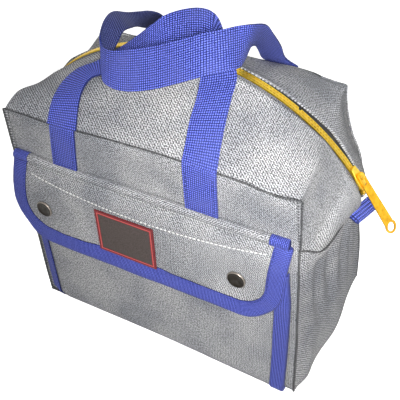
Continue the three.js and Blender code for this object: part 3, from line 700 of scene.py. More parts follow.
def canvas_finish(name, base):
    """Grey cotton twill: fine diagonal ribs, flecked yarn, soft clouding and pale rubbed places."""
    f = Finish(name)
    uv, body = f.weave_map(), f.body_map()
    ribs = f.wave(uv, 0.13, "DIAGONAL", 0.8)
    warp, weft = f.wave(uv, 0.17, "X", 1.2), f.wave(uv, 0.18, "Y", 1.2)
    knots = f.maths("MULTIPLY", warp, weft, 1, 1)
    fleck = f.noise(uv, "Vector", 0.13, 1.0, 0.7)
    slub = f.noise(f.weave_map((0.25, 2.2, 1)), "Vector", 0.10, 2.0, 0.6)
    cloud = f.noise(body, "Object", 0.055, 4.0, 0.55)
    rub = f.noise(body, "Object", 0.016, 3.0, 0.6)
    grain = f.maths("ADD", f.maths("MULTIPLY", ribs, 0.26, 1), f.maths("MULTIPLY", fleck, 1.05))
    for yarn, share in ((knots, 0.3), (slub, 0.25)):
        grain = f.maths("ADD", grain, f.maths("MULTIPLY", yarn, share))
    tone = f.ramp(grain, (0.68, shade(base, 0.28)), (0.86, shade(base, 0.95)), (1.0, shade(base, 2.1)))
    clouds = f.ramp(cloud, (0.36, (0.0,) * 3), (0.62, (1.0,) * 3))
    cloudy = f.blended(1.0, tone, f.blended(clouds, (0.74, 0.75, 0.78), (1.16, 1.14, 1.12)), "MULTIPLY")
    rubs = f.ramp(rub, (0.58, (0.0,) * 3), (0.78, (0.35,) * 3))
    f.colour_from(f.blended(rubs, cloudy, shade(base, 1.5)))
    f.shader_values(Roughness=0.92, Specular_IOR_Level=0.1, Sheen_Weight=0.04, Sheen_Roughness=0.6)
    f.bumps((ribs, 1, 0.2, 0.0004), (knots, 0, 0.25, 0.0004), (fleck, 0, 0.35, 0.0003), (rub, 0, 0.25, 0.0012))
    return f.material


def webbing_finish(name, base, pitch=0.185, depth=0.0006):
    """Coarse plain-woven webbing: rows of yarn knots with painted highlights on their tops and painted shade between
    them, and worn in places.
    """
    f = Finish(name)
    uv = f.weave_map()
    knots = f.maths("MULTIPLY", f.wave(uv, pitch, "Y", 0.5), f.wave(uv, pitch * 1.15, "X", 0.5), 1, 1)
    fleck = f.noise(uv, "Vector", 0.12, 1.0, 0.6)
    wear = f.noise(f.body_map(), "Object", 0.03, 3.0, 0.55)
    height = f.maths("ADD", knots, f.maths("MULTIPLY", fleck, 0.5))
    # The knots' tops are lifted to pale blue as painted highlights, and the hollows between them darkened as painted
    # shade.
    tone = f.ramp(height, (0.12, shade(base, 0.12)), (0.42, shade(base, 0.9)), (0.85, shade(base, 3.2, 0.07)))
    wears = f.ramp(wear, (0.5, (0.0,) * 3), (0.75, (0.4,) * 3))
    f.colour_from(f.blended(wears, tone, shade(base, 1.1, 0.06)))
    f.shader_values(Roughness=0.75, Specular_IOR_Level=0.12, Sheen_Weight=0.04, Sheen_Roughness=0.5)
    f.bumps((height, 0, 0.8, depth), (fleck, 0, 0.25, 0.0002))
    return f.material


def tape_finish(name, base):
    """Black woven zip tape with fine ribs along it."""
    f = Finish(name)
    uv = f.weave_map()
    fleck = f.noise(uv, "Vector", 0.05, 2.0, 0.6)
    both = f.maths("ADD", f.wave(uv, 0.08, "X", 0.6), f.maths("MULTIPLY", fleck, 0.6), 1, 0)
    f.colour_from(f.ramp(both, (0.2, shade(base, 0.5)), (1.2, shade(base, 1.4, 0.012))))
    f.shader_values(Roughness=0.85, Specular_IOR_Level=0.3)
    f.bumps((both, 0, 0.4, 0.0003))
    return f.material


def metal_finish(name, base, roughness, spread, dark):
    """Cast and plated metal: small dents, tarnish in patches, and uneven gloss."""
    f = Finish(name)
    body = f.body_map()
    patches = f.noise(body, "Object", 0.004, 3.0, 0.6)
    pits = f.noise(body, "Object", 0.0012, 2.0, 0.5)
    f.colour_from(f.ramp(patches, (0.34, shade(base, dark)), (0.52, base), (0.75, shade(base, 1.15, 0.02))))
    gloss = f.ramp(patches, (0.3, (roughness + spread,) * 3), (0.7, (roughness,) * 3))
    f.link(gloss, "Color", f.shader, "Roughness")
    f.shader_values(Metallic=1.0)
    f.bumps((pits, 0, 0.25, 0.0002), (patches, 0, 0.15, 0.0004))
    return f.material


def plain_finish(name, base, roughness=0.8, size=0.0006):
    """Thread, board or woven patch: fine grain over one tone."""
    f = Finish(name)
    grain = f.noise(f.body_map(), "Object", size, 2.0, 0.6)
    f.colour_from(f.ramp(grain, (0.3, shade(base, 0.7)), (0.7, shade(base, 1.2, 0.01))))
    f.shader_values(Roughness=roughness, Specular_IOR_Level=0.3)
    f.bumps((grain, 0, 0.4, 0.0003))
    return f.material


def finish(name):
    """One material by name, made when it is first asked for."""
    made = bpy.data.materials.get(name)
    if made:
        return made
    c = bpy.context.scene.tool_bag_colours
    looks = {
        "Grey twill": (canvas_finish, c.canvas),
        # Canvas darkened to a third: painted shade along the seams.
        "Dark seam cloth": (canvas_finish, shade(c.canvas, 0.3)),
        "Blue webbing": (webbing_finish, c.webbing),
        # Painted shade: the darker navy for the handles' inner faces.
        "Navy webbing inside": (webbing_finish, c.webbing_inner_shade),
        "Blue edge tape": (webbing_finish, c.binding, 0.125, 0.0004),
        "Black zip tape": (tape_finish, c.tape),
        "Grey zip tape": (tape_finish, shade(c.canvas, 0.5)),
        "Zip brass": (metal_finish, c.teeth, 0.38, 0.08, 0.85),
        "Pull brass": (metal_finish, c.brass, 0.3, 0.1, 0.75),
        "Antique snap metal": (metal_finish, c.snap, 0.3, 0.1, 0.7),
        # The snap metal made much lighter: a painted reflection on the caps' rims.
        "Snap rim metal": (metal_finish, shade(c.snap, 8, 0.1), 0.32, 0.1, 0.8),
        "Pale thread": (plain_finish, c.thread),
        "Grey thread": (plain_finish, shade(c.canvas, 0.8), 0.85),
        "Blue thread": (plain_finish, shade(c.webbing, 0.8)),
        "Stiff board": (plain_finish, (0.09, 0.08, 0.07), 0.7, 0.0015),
        "Patch field": (plain_finish, c.patch, 0.75, 0.0009),
        "Patch edge": (plain_finish, c.patch_edge, 0.6, 0.0009),
        "Patch line": (plain_finish, c.patch_line, 0.6, 0.0009),
    }
    maker, *values = looks[name]
    return maker(name, *values)


def dress_node(node, material):
    """Gives a packed rigid piece its finish."""
    piece = frame["nodes"][node]
    piece.data.materials.clear()
    piece.data.materials.append(material)


class BodyOperator(bpy.types.Operator):
    """Front, back, end and bottom panels with their seams"""

    bl_idname = "tool_bag.body"
    bl_label = "Body panels"

    def execute(self, context):
        form = BagForm(context.scene)
        body = form.body
        canvas = finish("Grey twill")
        low, high = 1.9 * MM, body.seam_height - 0.4 * MM

        def crease(p):
            soft = wool(p, 0.075, 3.1) + 0.5 * wool(p, 0.03, 8.2)
            below = abs(body.seam_height - p.z)
            return body.crease * (0.55 * soft - 0.6) + seam_swell(below, 0.9 * MM)

        for name, side in SIDES:

            def panel(u, v, side=side):
                z = mix(low, high, v)
                return form.laid((2 * u - 1) * form.half_length(z), side * form.half_depth(z), z)

            cloth_piece(f"{name}_body_cloth", panel, 96, 80, canvas, "bag", [f"{name}_panel"], crease=crease)
        for name, end in ENDS:

            def end_wall(u, v, end=end):
                z = mix(low, form.end_top((2 * u - 1) * form.half_depth(0)) - 0.2 * MM, v)
                y = (2 * u - 1) * form.half_depth(z)
                middle = 1 - (2 * u - 1) ** 4
                # Narrow folds fan out from the zip, and broad ones run down across them.
                fan = (y + 0.004) * (1 + 0.9 * (1 - z / 0.18))
                fold = math.sin(fan / 0.0062 + 0.5) * ease(z, 0.03, 0.14)
                fold += 0.8 * math.sin((y - 0.12 * z) / 0.0165 + 1.1)
                belly = 4.5 * MM * middle * hump(z, -0.05, 0.13)
                under = form.end_top(y) - z
                x = form.end_x(y, z) + middle * body.fold * (0.5 * fold - 0.75) * ease(under, 0.004, 0.03)
                x += belly + seam_swell(under, 2.6 * MM) * middle
                return form.laid(end * x, y, z)

            cloth_piece(
                f"{name}_end_cloth", end_wall, 72, 72, canvas, "bag", [f"end_panel_{name}"],
                crease=lambda p: 0.5 * crease(p),
            )

        def base(u, v):
            return Vector(((2 * u - 1) * form.end_face(0), (2 * v - 1) * body.base_depth / 2, CLOTH))

        cloth_piece("bottom_cloth", base, 60, 36, canvas, "bag", ["bottom_panel"], offset=1)
        dress_node("bottom_board", finish("Stiff board"))
        self.seams(form, finish("Dark seam cloth"))
        return {"FINISHED"}

    def seams(self, form, dark):
        # The corner and foot welts are the darkened seam cloth, which paints the shade in the seams.
        for name, side in SIDES:
            for end_name, end in ENDS:
                corner = []
                for z in steps(2.5 * MM, form.body.end_seam, 40):
                    x = end * (form.half_length(z) + 1.2 * MM)
                    wander = 0.6 * MM * wool(Vector((x, side, z)), 0.03)
                    corner.append(form.laid(x + wander, side * (form.half_depth(z) + 0.1 * MM), z))
                cord_piece(f"corner_welt_{name}_{end_name}", corner, 1.0 * MM, dark, "bag")
            foot = [Vector((share * form.half_length(0), 0, CLOTH)) for share in steps(-1, 1, 80)]
            for p in foot:
                p.y = side * (form.half_depth(0) + 1.4 * MM + 0.5 * MM * wool(p, 0.03))
            cord_piece(f"foot_welt_{name}", foot, 1.5 * MM, dark, "bag")


class HoodOperator(bpy.types.Operator):
    """Hood from the long seams up to the zip, in front and behind"""

    bl_idname = "tool_bag.hood"
    bl_label = "Hood"

    def execute(self, context):
        form = BagForm(context.scene)
        # The seam from the middle: along the mouth, on to the corner, down the corner, and across the end to the zip.
        lengths = (form.zip.mouth, form.end_face(form.body.seam_height) - form.zip.mouth, 0.051, 0.075)
        reach = sum(lengths)

        def spread(distance):
            """From a distance along the seam to the hood's t."""
            left, t = abs(distance), 0.0
            for step in lengths:
                if left <= step:
                    return math.copysign(t + left / step, distance)
                left -= step
                t += 1
            return math.copysign(4.0, distance)

        def crease(p):
            soft = wool(p, 0.05, 5.0) + 0.45 * wool(p, 0.022, 1.0)
            ridge = ease(p.x, 0.09, 0.135) * math.sin((p.y + 0.6 * p.z) / 0.016)
            calm = ease(abs(p.y), form.zip.edge, form.zip.edge + 10 * MM)
            from_seam = math.hypot(abs(p.y) - form.body.seam_depth / 2, p.z - form.body.seam_height)
            rumple = calm * form.body.crease * (0.55 * soft + 0.35 * ridge - 0.45)
            return rumple + seam_swell(from_seam, 1.3 * MM) * (1 - ease(abs(p.x), 0.125, 0.135))

        def hood(name, side, start, stop, columns, body, nodes):
            def surface(u, v):
                t = off_middle(spread(mix(start, stop, u)))
                return form.draped(form.hood(side, t, v * form.share(side, t, form.zip.edge)))

            return cloth_piece(name, surface, columns, 30, finish("Grey twill"), body, nodes, crease=crease)

        hood("front_hood_cloth", -1, -reach, reach, 150, "bag", ["hood_front"])
        for name, end in ENDS:
            start, stop = sorted((0.0, end * reach))
            nodes = ["hood_back", f"hood_back_end_{name}"]
            piece = hood(f"back_hood_cloth_{name}", 1, start, stop, 78, None, nodes)
            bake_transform(piece)
        self.welts(form, [spread(distance) for distance in steps(-reach, reach, 220)])
        self.stitches(form, [off_middle(spread(distance)) for distance in steps(-reach * 0.93, reach * 0.93, 600)])
        return {"FINISHED"}

    def welts(self, form, places):
        """The seam all round between the hood and the body, and the seam allowance inside the mouth; the front seam and
        the allowance are darkened canvas as painted shade.
        """
        dark = finish("Dark seam cloth")
        for name, side in SIDES:
            line = []
            for t in places:
                p = form.seam_point(side, off_middle(t))
                out = Vector((0, side, 0)) if abs(t) < 2 else Vector((math.copysign(1, t), 0, 0))
                p += out * 0.1 * MM
                p.z += 0.5 * MM * wool(p, 0.02)
                line.append(form.draped(p))
            # The front seam paints its shade in darkened canvas; the back seam is plain canvas.
            cloth = dark if side < 0 else finish("Grey twill")
            cord_piece(f"hood_seam_{name}", line, 0.8 * MM, cloth, "bag")
        under = Vector((0, -2.1 * MM, 0.3 * MM))
        inside = [form.draped(form.seam_point(1, t) + under) for t in steps(-0.985, 0.985, 60)]
        cord_piece("mouth_seam_allowance", inside, 1.5 * MM, dark, "bag")

    def stitches(self, form, places):
        """A row of thread along the hem, on each body that the hem belongs to."""
        for name, side in SIDES:
            row = []
            for t in places:
                share = form.share(side, t, form.zip.edge + 9 * MM)
                here = form.draped(form.hood(side, t, share))
                up = form.draped(form.hood(side, t, share + 0.01)) - here
                along = form.draped(form.hood(side, t + 0.002, share)) - here
                out = up.cross(along).normalized()
                if out.z < 0:
                    out.negate()
                row.append((here + out * 0.1 * MM, out, t))
            runs = [("front", "bag", -4, 4)]
            if side > 0:
                runs = [("back", "mouth", -0.96, 0.96), ("back_left", "bag", -4, -2), ("back_right", "bag", 2, 4)]
            for run, body, first, last in runs:
                line = [(p, out) for p, out, t in row if first < t < last]
                stitch_piece(f"hem_stitches_{run}", [line], finish("Grey thread"), body)


class ZipOperator(bpy.types.Operator):
    """Zip tape under the hems, and brass for the teeth, slider, stops and pull"""

    bl_idname = "tool_bag.zip"
    bl_label = "Zip"

    def execute(self, context):
        form = BagForm(context.scene)
        centre = Vector((form.zip.centre, 0, form.zip_z))
        under_cloth = form.body.cloth + 0.6 * MM

        def tape_point(side, t, w):
            out = (form.zip_edge(t) - centre).normalized()
            spine = centre + out * (form.zip.radius + 0.4 * MM)
            spine.y = side * (form.zip.spine + 0.7 * MM)
            outer = mix(form.zip.tape, form.zip.edge + 1 * MM, ease(abs(t), 2.6, 3.6))
            low, bend = (
                form.draped(form.hood(side, t, form.share(side, t, inset)) - out * under_cloth)
                for inset in (outer, form.zip.edge - 0.8 * MM)
            )
            return low.lerp(bend, 2 * w) if w < 0.5 else bend.lerp(spine, 2 * w - 1)

        # Each run of tape, from t to t, and the body that it rides on.
        for name, side, first, last, body in (
            ("front", -1, -3.8, 3.8, "bag"),
            ("back", 1, -0.997, 0.997, "mouth"),
            ("back_left", 1, -3.8, -1.003, "bag"),
            ("back_right", 1, 1.003, 3.8, "bag"),
        ):

            def surface(u, v, side=side, first=first, last=last):
                return tape_point(side, off_middle(mix(first, last, u)), v)

            # The back runs take the black tape, a darker copy of the front's grey tape: painted shade under the back
            # hem.
            cloth_piece(
                f"zip_tape_cloth_{name}", surface, int(24 * (last - first)) + 4, 6,
                finish("Grey zip tape" if side < 0 else "Black zip tape"), body, [f"zip_tape_{name}"],
                thickness=0.8 * MM,
            )
        for node in frame["nodes"]:
            if node.startswith(("zip_teeth", "zip_stop", "zip_slider")):
                dress_node(node, finish("Zip brass"))
        self.pull(finish("Pull brass"))
        return {"FINISHED"}

    def pull(self, brass):
        """A flat pull with a slot over the slider's lug and a wide ring at its tip."""
        joint = next(j for j in frame["joints"] if j["name"] == "pull_hinge")
        pivot = Vector(joint["pos_m"])
        high = Vector(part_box("zip_pull")[1])
        fall = math.radians(PULL_FALL)
        along = Vector((math.cos(fall), 0, -math.sin(fall)))
        out = Vector((math.sin(fall), 0, math.cos(fall)))
        reach = (high.x - pivot.x) / math.cos(fall) - 0.3 * MM
        ring, hole, waist, slot_half, thick = 5.9 * MM, 3.9 * MM, 3.9 * MM, 1.9 * MM, 1.4 * MM
        bm = bmesh.new()

        def arc(centre, radius, first, last, count):
            """Corners on an arc, from first to last degrees."""
            angles = [math.radians(degrees) for degrees in steps(first, last, count)]
            return [bm.verts.new((centre + radius * math.cos(a), radius * math.sin(a), 0)) for a in angles]

        tip = reach - ring
        rim = arc(tip, ring, -125, 125, 30) + arc(0, waist, 115, 245, 10)
        inner = arc(tip + 0.3 * MM, hole, 0, 348, 29)
        slot = arc(6.6 * MM, slot_half, -90, 90, 8) + arc(1.2 * MM, slot_half, 90, 270, 8)
        edges = []
        for corners in (rim, inner, slot):
            edges += [bm.edges.new(pair) for pair in zip(corners, corners[1:] + corners[:1])]
        bmesh.ops.triangle_fill(bm, use_beauty=True, use_dissolve=False, edges=edges)
        plate = bmesh.ops.extrude_face_region(bm, geom=bm.faces[:])
        raised = [v for v in plate["geom"] if isinstance(v, bmesh.types.BMVert)]
        bmesh.ops.translate(bm, vec=(0, 0, thick), verts=raised)
        bmesh.ops.recalc_face_normals(bm, faces=bm.faces)
        turn = Matrix((along, Vector((0, 1, 0)), out)).transposed().to_4x4()
        twist = Matrix.Rotation(math.radians(PULL_TWIST), 4, "X")
        bmesh.ops.transform(bm, matrix=Matrix.Translation(pivot - out * thick / 2) @ turn @ twist, verts=bm.verts)
        mesh = mesh_from(bm, "zip_pull_metal", smooth=False)
        piece = add_object("zip_pull_metal", mesh, brass, "pull", ["zip_pull"])
        round_edges(piece, "Rounded rim", 0.35 * MM, 40)


class PocketOperator(bpy.types.Operator):
    """Pockets on both broad sides and the blue tape on their edges"""

    bl_idname = "tool_bag.pockets"
    bl_label = "Pockets"

    def execute(self, context):
        form = BagForm(context.scene)
        sizes = form.flap
        edge = sizes.pocket_half_width - 1.5 * MM

        def crease(p):
            calm = ease(0.142 - abs(p.x), 0.006, 0.03) * ease(p.z, 0.004, 0.02)
            soft = wool(p, 0.07, 9.0) + 0.5 * wool(p, 0.028, 2.0)
            return calm * form.body.crease * (0.5 * soft - 0.25)

        for name, side in SIDES:

            def pocket(u, v, side=side):
                z = mix(3.4 * MM, sizes.pocket_top, v)
                x = (2 * u - 1) * edge
                x -= math.copysign(self.drawn_in(sizes, z), x) * ease(abs(x), edge - 0.03, edge)
                return form.laid(x, side * (form.pocket_face(z) - self.turned(x, side)), z)

            cloth_piece(
                f"pocket_cloth_{name}", pocket, 100, 64, finish("Grey twill"), "bag",
                [f"pocket_panel_{name}"], crease=crease,
            )
            for end_name, end in ENDS:
                self.binding(form, f"{name}_{end_name}", side, end)
        return {"FINISHED"}

    def drawn_in(self, sizes, z):
        """How far the pocket's upper corners are drawn in under the flap."""
        return 3 * MM * ease(z, sizes.pocket_top - 0.045, sizes.pocket_top)

    def turned(self, x, side):
        """The front pocket's left edge turns back towards the panel."""
        return 6.4 * MM * ease(-x, 0.116, 0.139) if side < 0 else 0

    def binding(self, form, name, side, end):
        sizes = form.flap
        wide, turn = sizes.pocket_tape, 6 * MM

        def tape(u, v):
            z = mix(3.4 * MM, sizes.pocket_top - 1 * MM, v)
            # Across the face of the tape, and then round the pocket's edge towards the panel.
            distance = u * (wide + turn)
            past = max(distance - wide, 0)
            x, y = sizes.pocket_half_width + min(distance - wide, 0), form.pocket_face(z) + 1.5 * MM - past
            corner = 0.6 * MM * max(0.0, 1 - abs(distance - wide) / CLOTH)
            wave = 0.2 * MM * wool(Vector((0.3, side * 0.2, z)), 0.03)
            back = self.turned(end * x, side) * (0.9 if past else 1)
            x -= self.drawn_in(sizes, z)
            y = max(y - corner - back, form.half_depth(z) + 0.6 * MM)
            return form.laid(end * (x - corner + wave), side * y, z)

        cloth_piece(
            f"pocket_edge_{name}", tape, 16, 60, finish("Blue edge tape"), "bag",
            [f"pocket_binding_{name}"], thickness=1.1 * MM,
        )
        line = []
        for z in steps(10 * MM, sizes.pocket_top - 4 * MM, 400):
            x = end * (sizes.pocket_half_width - wide + CLOTH - self.drawn_in(sizes, z))
            y = form.pocket_face(z) + 1.65 * MM - self.turned(x, side)
            line.append((form.laid(x, side * y, z), Vector((0, side, 0))))
        stitch_piece(f"pocket_edge_stitches_{name}", [line], finish("Blue thread"), "bag")


class FlapOperator(bpy.types.Operator):
    """Snap flaps with their rolled seams, bound edges and stitching"""

    bl_idname = "tool_bag.flaps"
    bl_label = "Flaps"

    def execute(self, context):
        form = BagForm(context.scene)
        sizes = form.flap
        cloth_inset = 2 * MM
        foot = sizes.hinge - sizes.height
        top = sizes.hinge - sizes.roll - form.gap

        def half_at(z):
            """Half the cloth's width at a height, with its lower corners round."""
            corner = sizes.corner - cloth_inset
            drop = min(max(foot + sizes.corner - z, 0.0), corner)
            return sizes.half_width - sizes.corner + math.sqrt(max(corner**2 - drop**2, 0.0))

        for name, side in SIDES:

            def flap(u, v, side=side):
                z = mix(foot + cloth_inset, top, v)
                return self.placed(form, side, (2 * u - 1) * half_at(z), z)

            cloth_piece(
                f"flap_cloth_{name}", flap, 110, 44, finish("Grey twill"), f"flap_{name}",
                [f"flap_{name}"], thickness=1.5 * MM,
            )
            self.binding(form, name, side)
            self.roll(form, name, side)
            self.stitches(form, name, side)
        return {"FINISHED"}

    def wave(self, sizes, side, x, z):
        """The lower edge stands out in soft waves, and lies flat at the snaps and behind the patch."""
        free = ease(sizes.pocket_top - z, 0.0, 0.05)
        snaps = min(ease(math.hypot(x - at, z - SNAPS_Z), 0.012, 0.03) for at in SNAPS_X)
        patch = 1 if side > 0 else max(ease(abs(x - PATCH_X), 0.031, 0.05), ease(0.116 - z, 0, 0.01))
        soft = wool(Vector((x, side, z * 0.6)), 0.05, 4.0) + 0.4 * wool(Vector((x, side, z)), 0.022, 6.0)
        lifted = 3.5 * MM * ease(0.118 - z, 0, 0.016) if side < 0 else 0
        return sizes.wave * (0.55 + 0.8 * soft) * free * snaps * patch + lifted

    def placed(self, form, side, x, z, out=0.0):
        """A point of the flap: the front one hangs a little to the left and swells under its roll."""
        sizes = form.flap
        if side < 0:
            low = ease(sizes.hinge - z, 0, 0.05)
            half = sizes.half_width - 2.25 * MM + 1.5 * MM * low
            x = FLAP_SHIFT - 5 * MM * low + x / sizes.half_width * half
        swell = 1.6 * MM * hump(sizes.hinge - z, 0.002, 0.026)
        y = form.flap_face(max(z, sizes.hinge - sizes.height)) + self.wave(sizes, side, x, z) + swell + out
        return form.laid(x, side * y, z)

    def outline(self, sizes, share, inset):
        """A point of the flap's edge, from the top left round the foot to the top right."""
        corner = sizes.corner
        middle = Vector((sizes.half_width - corner, sizes.hinge - sizes.height + corner))
        straight, bend = sizes.height - sizes.roll - corner, math.pi / 2 * corner
        down = (1 - abs(2 * share - 1)) * (straight + bend + middle.x)
        turn = min(max(down - straight, 0), bend) / corner
        inward = Vector((-math.cos(turn), math.sin(turn)))
        point = middle - inward * (corner - inset)
        point.y += max(straight - down, 0)
        point.x -= max(down - straight - bend, 0)
        return (-point.x if share < 0.5 else point.x), point.y

    def binding(self, form, name, side):
        sizes, blue = form.flap, finish("Blue edge tape")
        wide = sizes.binding
        lap = 3 * MM if side < 0 else 0

        def tape(u, v):
            """Across the tape: the outer face, round the edge, and the inner face."""
            across = 2 * wide * v
            inset = abs(across - wide)
            x, z = self.outline(sizes, u, max(inset, 0.2 * MM) - lap)
            outer = across < wide
            out = (1.1 if outer else -2.6) * MM * ease(inset, 0, 2.5 * MM) - 0.5 * MM
            out += 0.35 * MM * wool(Vector((x, side, z)), 0.012, 2.0) if outer else 0
            return self.placed(form, side, x, z, out)

        cloth_piece(
            f"flap_edge_{name}", tape, 220, 18, blue, f"flap_{name}", [f"flap_binding_{name}"],
            thickness=0.9 * MM, offset=0,
        )
        points = [self.outline(sizes, share, wide - 1.8 * MM - lap) for share in steps(0, 1, 900)]
        line = [(self.placed(form, side, x, z, 1.15 * MM), Vector((0, side, 0))) for x, z in points]
        stitch_piece(f"flap_edge_stitches_{name}", [line], finish("Blue thread"), f"flap_{name}")

    def roll(self, form, name, side):
        sizes = form.flap
        shift = FLAP_SHIFT if side < 0 else 0
        half = sizes.half_width - abs(shift)
        radius = sizes.roll + 0.7 * MM

        def roll_piece(part, first, last, count, thick, look, nodes=()):
            points = []
            for x in steps(shift + first, shift + last, count):
                sway = 0.5 * MM * wool(Vector((x, side, 0)), 0.03)
                points.append(form.laid(x, side * (form.half_depth(sizes.hinge) + CLOTH), sizes.hinge + sway))
            cord_piece(f"flap_roll_{part}", points, thick, finish(look), "bag", nodes)

        inner = half - 4 * MM
        roll_piece(f"cloth_{name}", -inner, inner, 110, radius, "Grey twill", [f"flap_roll_{name}"])
        for end_name, end in ENDS:
            first, last = end * (half - sizes.binding), end * half
            roll_piece(
                f"edge_{name}_{end_name}", first, last, 10, radius + 0.6 * MM, "Blue edge tape"
            )

    def stitches(self, form, name, side):
        sizes = form.flap
        line = []
        for share in steps(-1, 1, 900):
            x = share * (sizes.half_width - sizes.binding - 1 * MM)
            z = sizes.hinge - mix(24 * MM, 13 * MM, share * share)
            line.append((self.placed(form, side, x, z, 0.25 * MM), Vector((0, side, 0.3))))
        stitch_piece(
            f"flap_stitches_{name}", [line], finish("Pale thread"), f"flap_{name}", stitch=3.2 * MM, thickness=0.65 * MM
        )


class SnapOperator(bpy.types.Operator):
    """Turned snap caps on the flaps"""

    bl_idname = "tool_bag.snaps"
    bl_label = "Snaps"

    def execute(self, context):
        form = BagForm(context.scene)
        foot, lip = form.flap.hinge - form.flap.height, form.flap.pocket_top + 3 * MM
        rise = lip - foot - 8 * MM
        lean = math.atan2(form.flap_face(foot + 1e-4) - form.flap_face(foot + rise), rise)
        metal, rim = finish("Antique snap metal"), finish("Snap rim metal")
        # Radius and height of the cap's outline, in millimetres.
        profile = (
            (0, 2.05), (2.2, 2.0), (4.4, 1.95), (6.0, 2.05), (7.0, 2.3), (7.8, 2.2), (8.4, 1.7), (8.7, 1.0),
            (8.5, 0.5), (8.0, 0.3), (0, 0.3),
        )
        # Faces outside this radius take the lighter rim metal, a painted reflection round the cap's edge.
        painted_reflection_starts = 7.9 * MM
        for name, side in SIDES:
            for end_name, _ in ENDS:
                node = f"snap_cap_{name}_{end_name}"
                low, high = (Vector(c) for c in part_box(node))
                out = Vector((0, side * math.cos(lean), math.sin(lean)))
                base = (low + high) / 2 - out * 0.9 * MM
                bm = bmesh.new()
                corners = [bm.verts.new((r * MM, 0, h * MM)) for r, h in profile]
                edges = [bm.edges.new(pair) for pair in zip(corners, corners[1:])]
                bmesh.ops.spin(
                    bm, geom=corners + edges, cent=(0, 0, 0), axis=(0, 0, 1), angle=math.tau, steps=48,
                    use_merge=True, use_normal_flip=False, use_duplicate=False,
                )
                bmesh.ops.remove_doubles(bm, verts=bm.verts, dist=1e-6)
                bmesh.ops.recalc_face_normals(bm, faces=bm.faces)
                for face in bm.faces:
                    face.material_index = int(face.calc_center_median().to_2d().length > painted_reflection_starts)
                turn = out.to_track_quat("Z", "Y").to_matrix().to_4x4()
                bmesh.ops.transform(bm, matrix=Matrix.Translation(base) @ turn, verts=bm.verts)
                mesh = mesh_from(bm, f"{node}_metal")
                add_object(f"{node}_metal", mesh, [metal, rim], f"flap_{name}", [node])
                for half in ("socket", "stud"):
                    dress_node(f"snap_{half}_{name}_{end_name}", metal)
        return {"FINISHED"}


class PatchOperator(bpy.types.Operator):
    """Bare woven patch with a red edge on the front flap"""

    bl_idname = "tool_bag.patch"
    bl_label = "Patch"

    def execute(self, context):
        low, high = (Vector(c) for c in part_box("label_patch"))
        width, height, thick = high.x - low.x, 48 * MM, 1.2 * MM
        lean = math.atan2(high.y - low.y - thick, high.z - low.z)
        bm = bmesh.new()
        bmesh.ops.create_cube(bm, size=1, matrix=Matrix.Diagonal((width, height, thick, 1)))
        rims = [e for e in bm.edges if abs(abs(e.verts[0].co.x) - width / 2) < 1e-6]
        bmesh.ops.bevel(bm, geom=rims, offset=0.4 * MM, segments=2, profile=0.5, affect="EDGES", material=-1)
        top = max(bm.faces, key=lambda f: f.calc_center_median().z * 1000 + f.calc_area())
        for face in bm.faces:
            face.material_index = 0
        # Width of each frame round the field, how far the inside sinks, and the look of what is inside it.
        for inset, sink, look in ((1.9 * MM, 0, 1), (0.9 * MM, 0, 0), (0.8 * MM, 0, 2), (0.5 * MM, -0.4 * MM, 2)):
            bmesh.ops.inset_region(bm, faces=[top], thickness=inset, depth=0, use_even_offset=True)
            top.material_index = look
            for v in top.verts:
                v.co.z += sink
        middle = (low + high) / 2 + Vector((0, -1.3 * MM, 0))
        place = Matrix.Translation(middle) @ Matrix.Rotation(math.pi / 2 - lean, 4, "X")
        bmesh.ops.transform(bm, matrix=place, verts=bm.verts)
        mesh = mesh_from(bm, "patch_cloth", smooth=False)
        materials = [finish(f"Patch {part}") for part in ("edge", "line", "field")]
        add_object("patch_cloth", mesh, materials, "flap_front", ["label_patch"])
        return {"FINISHED"}


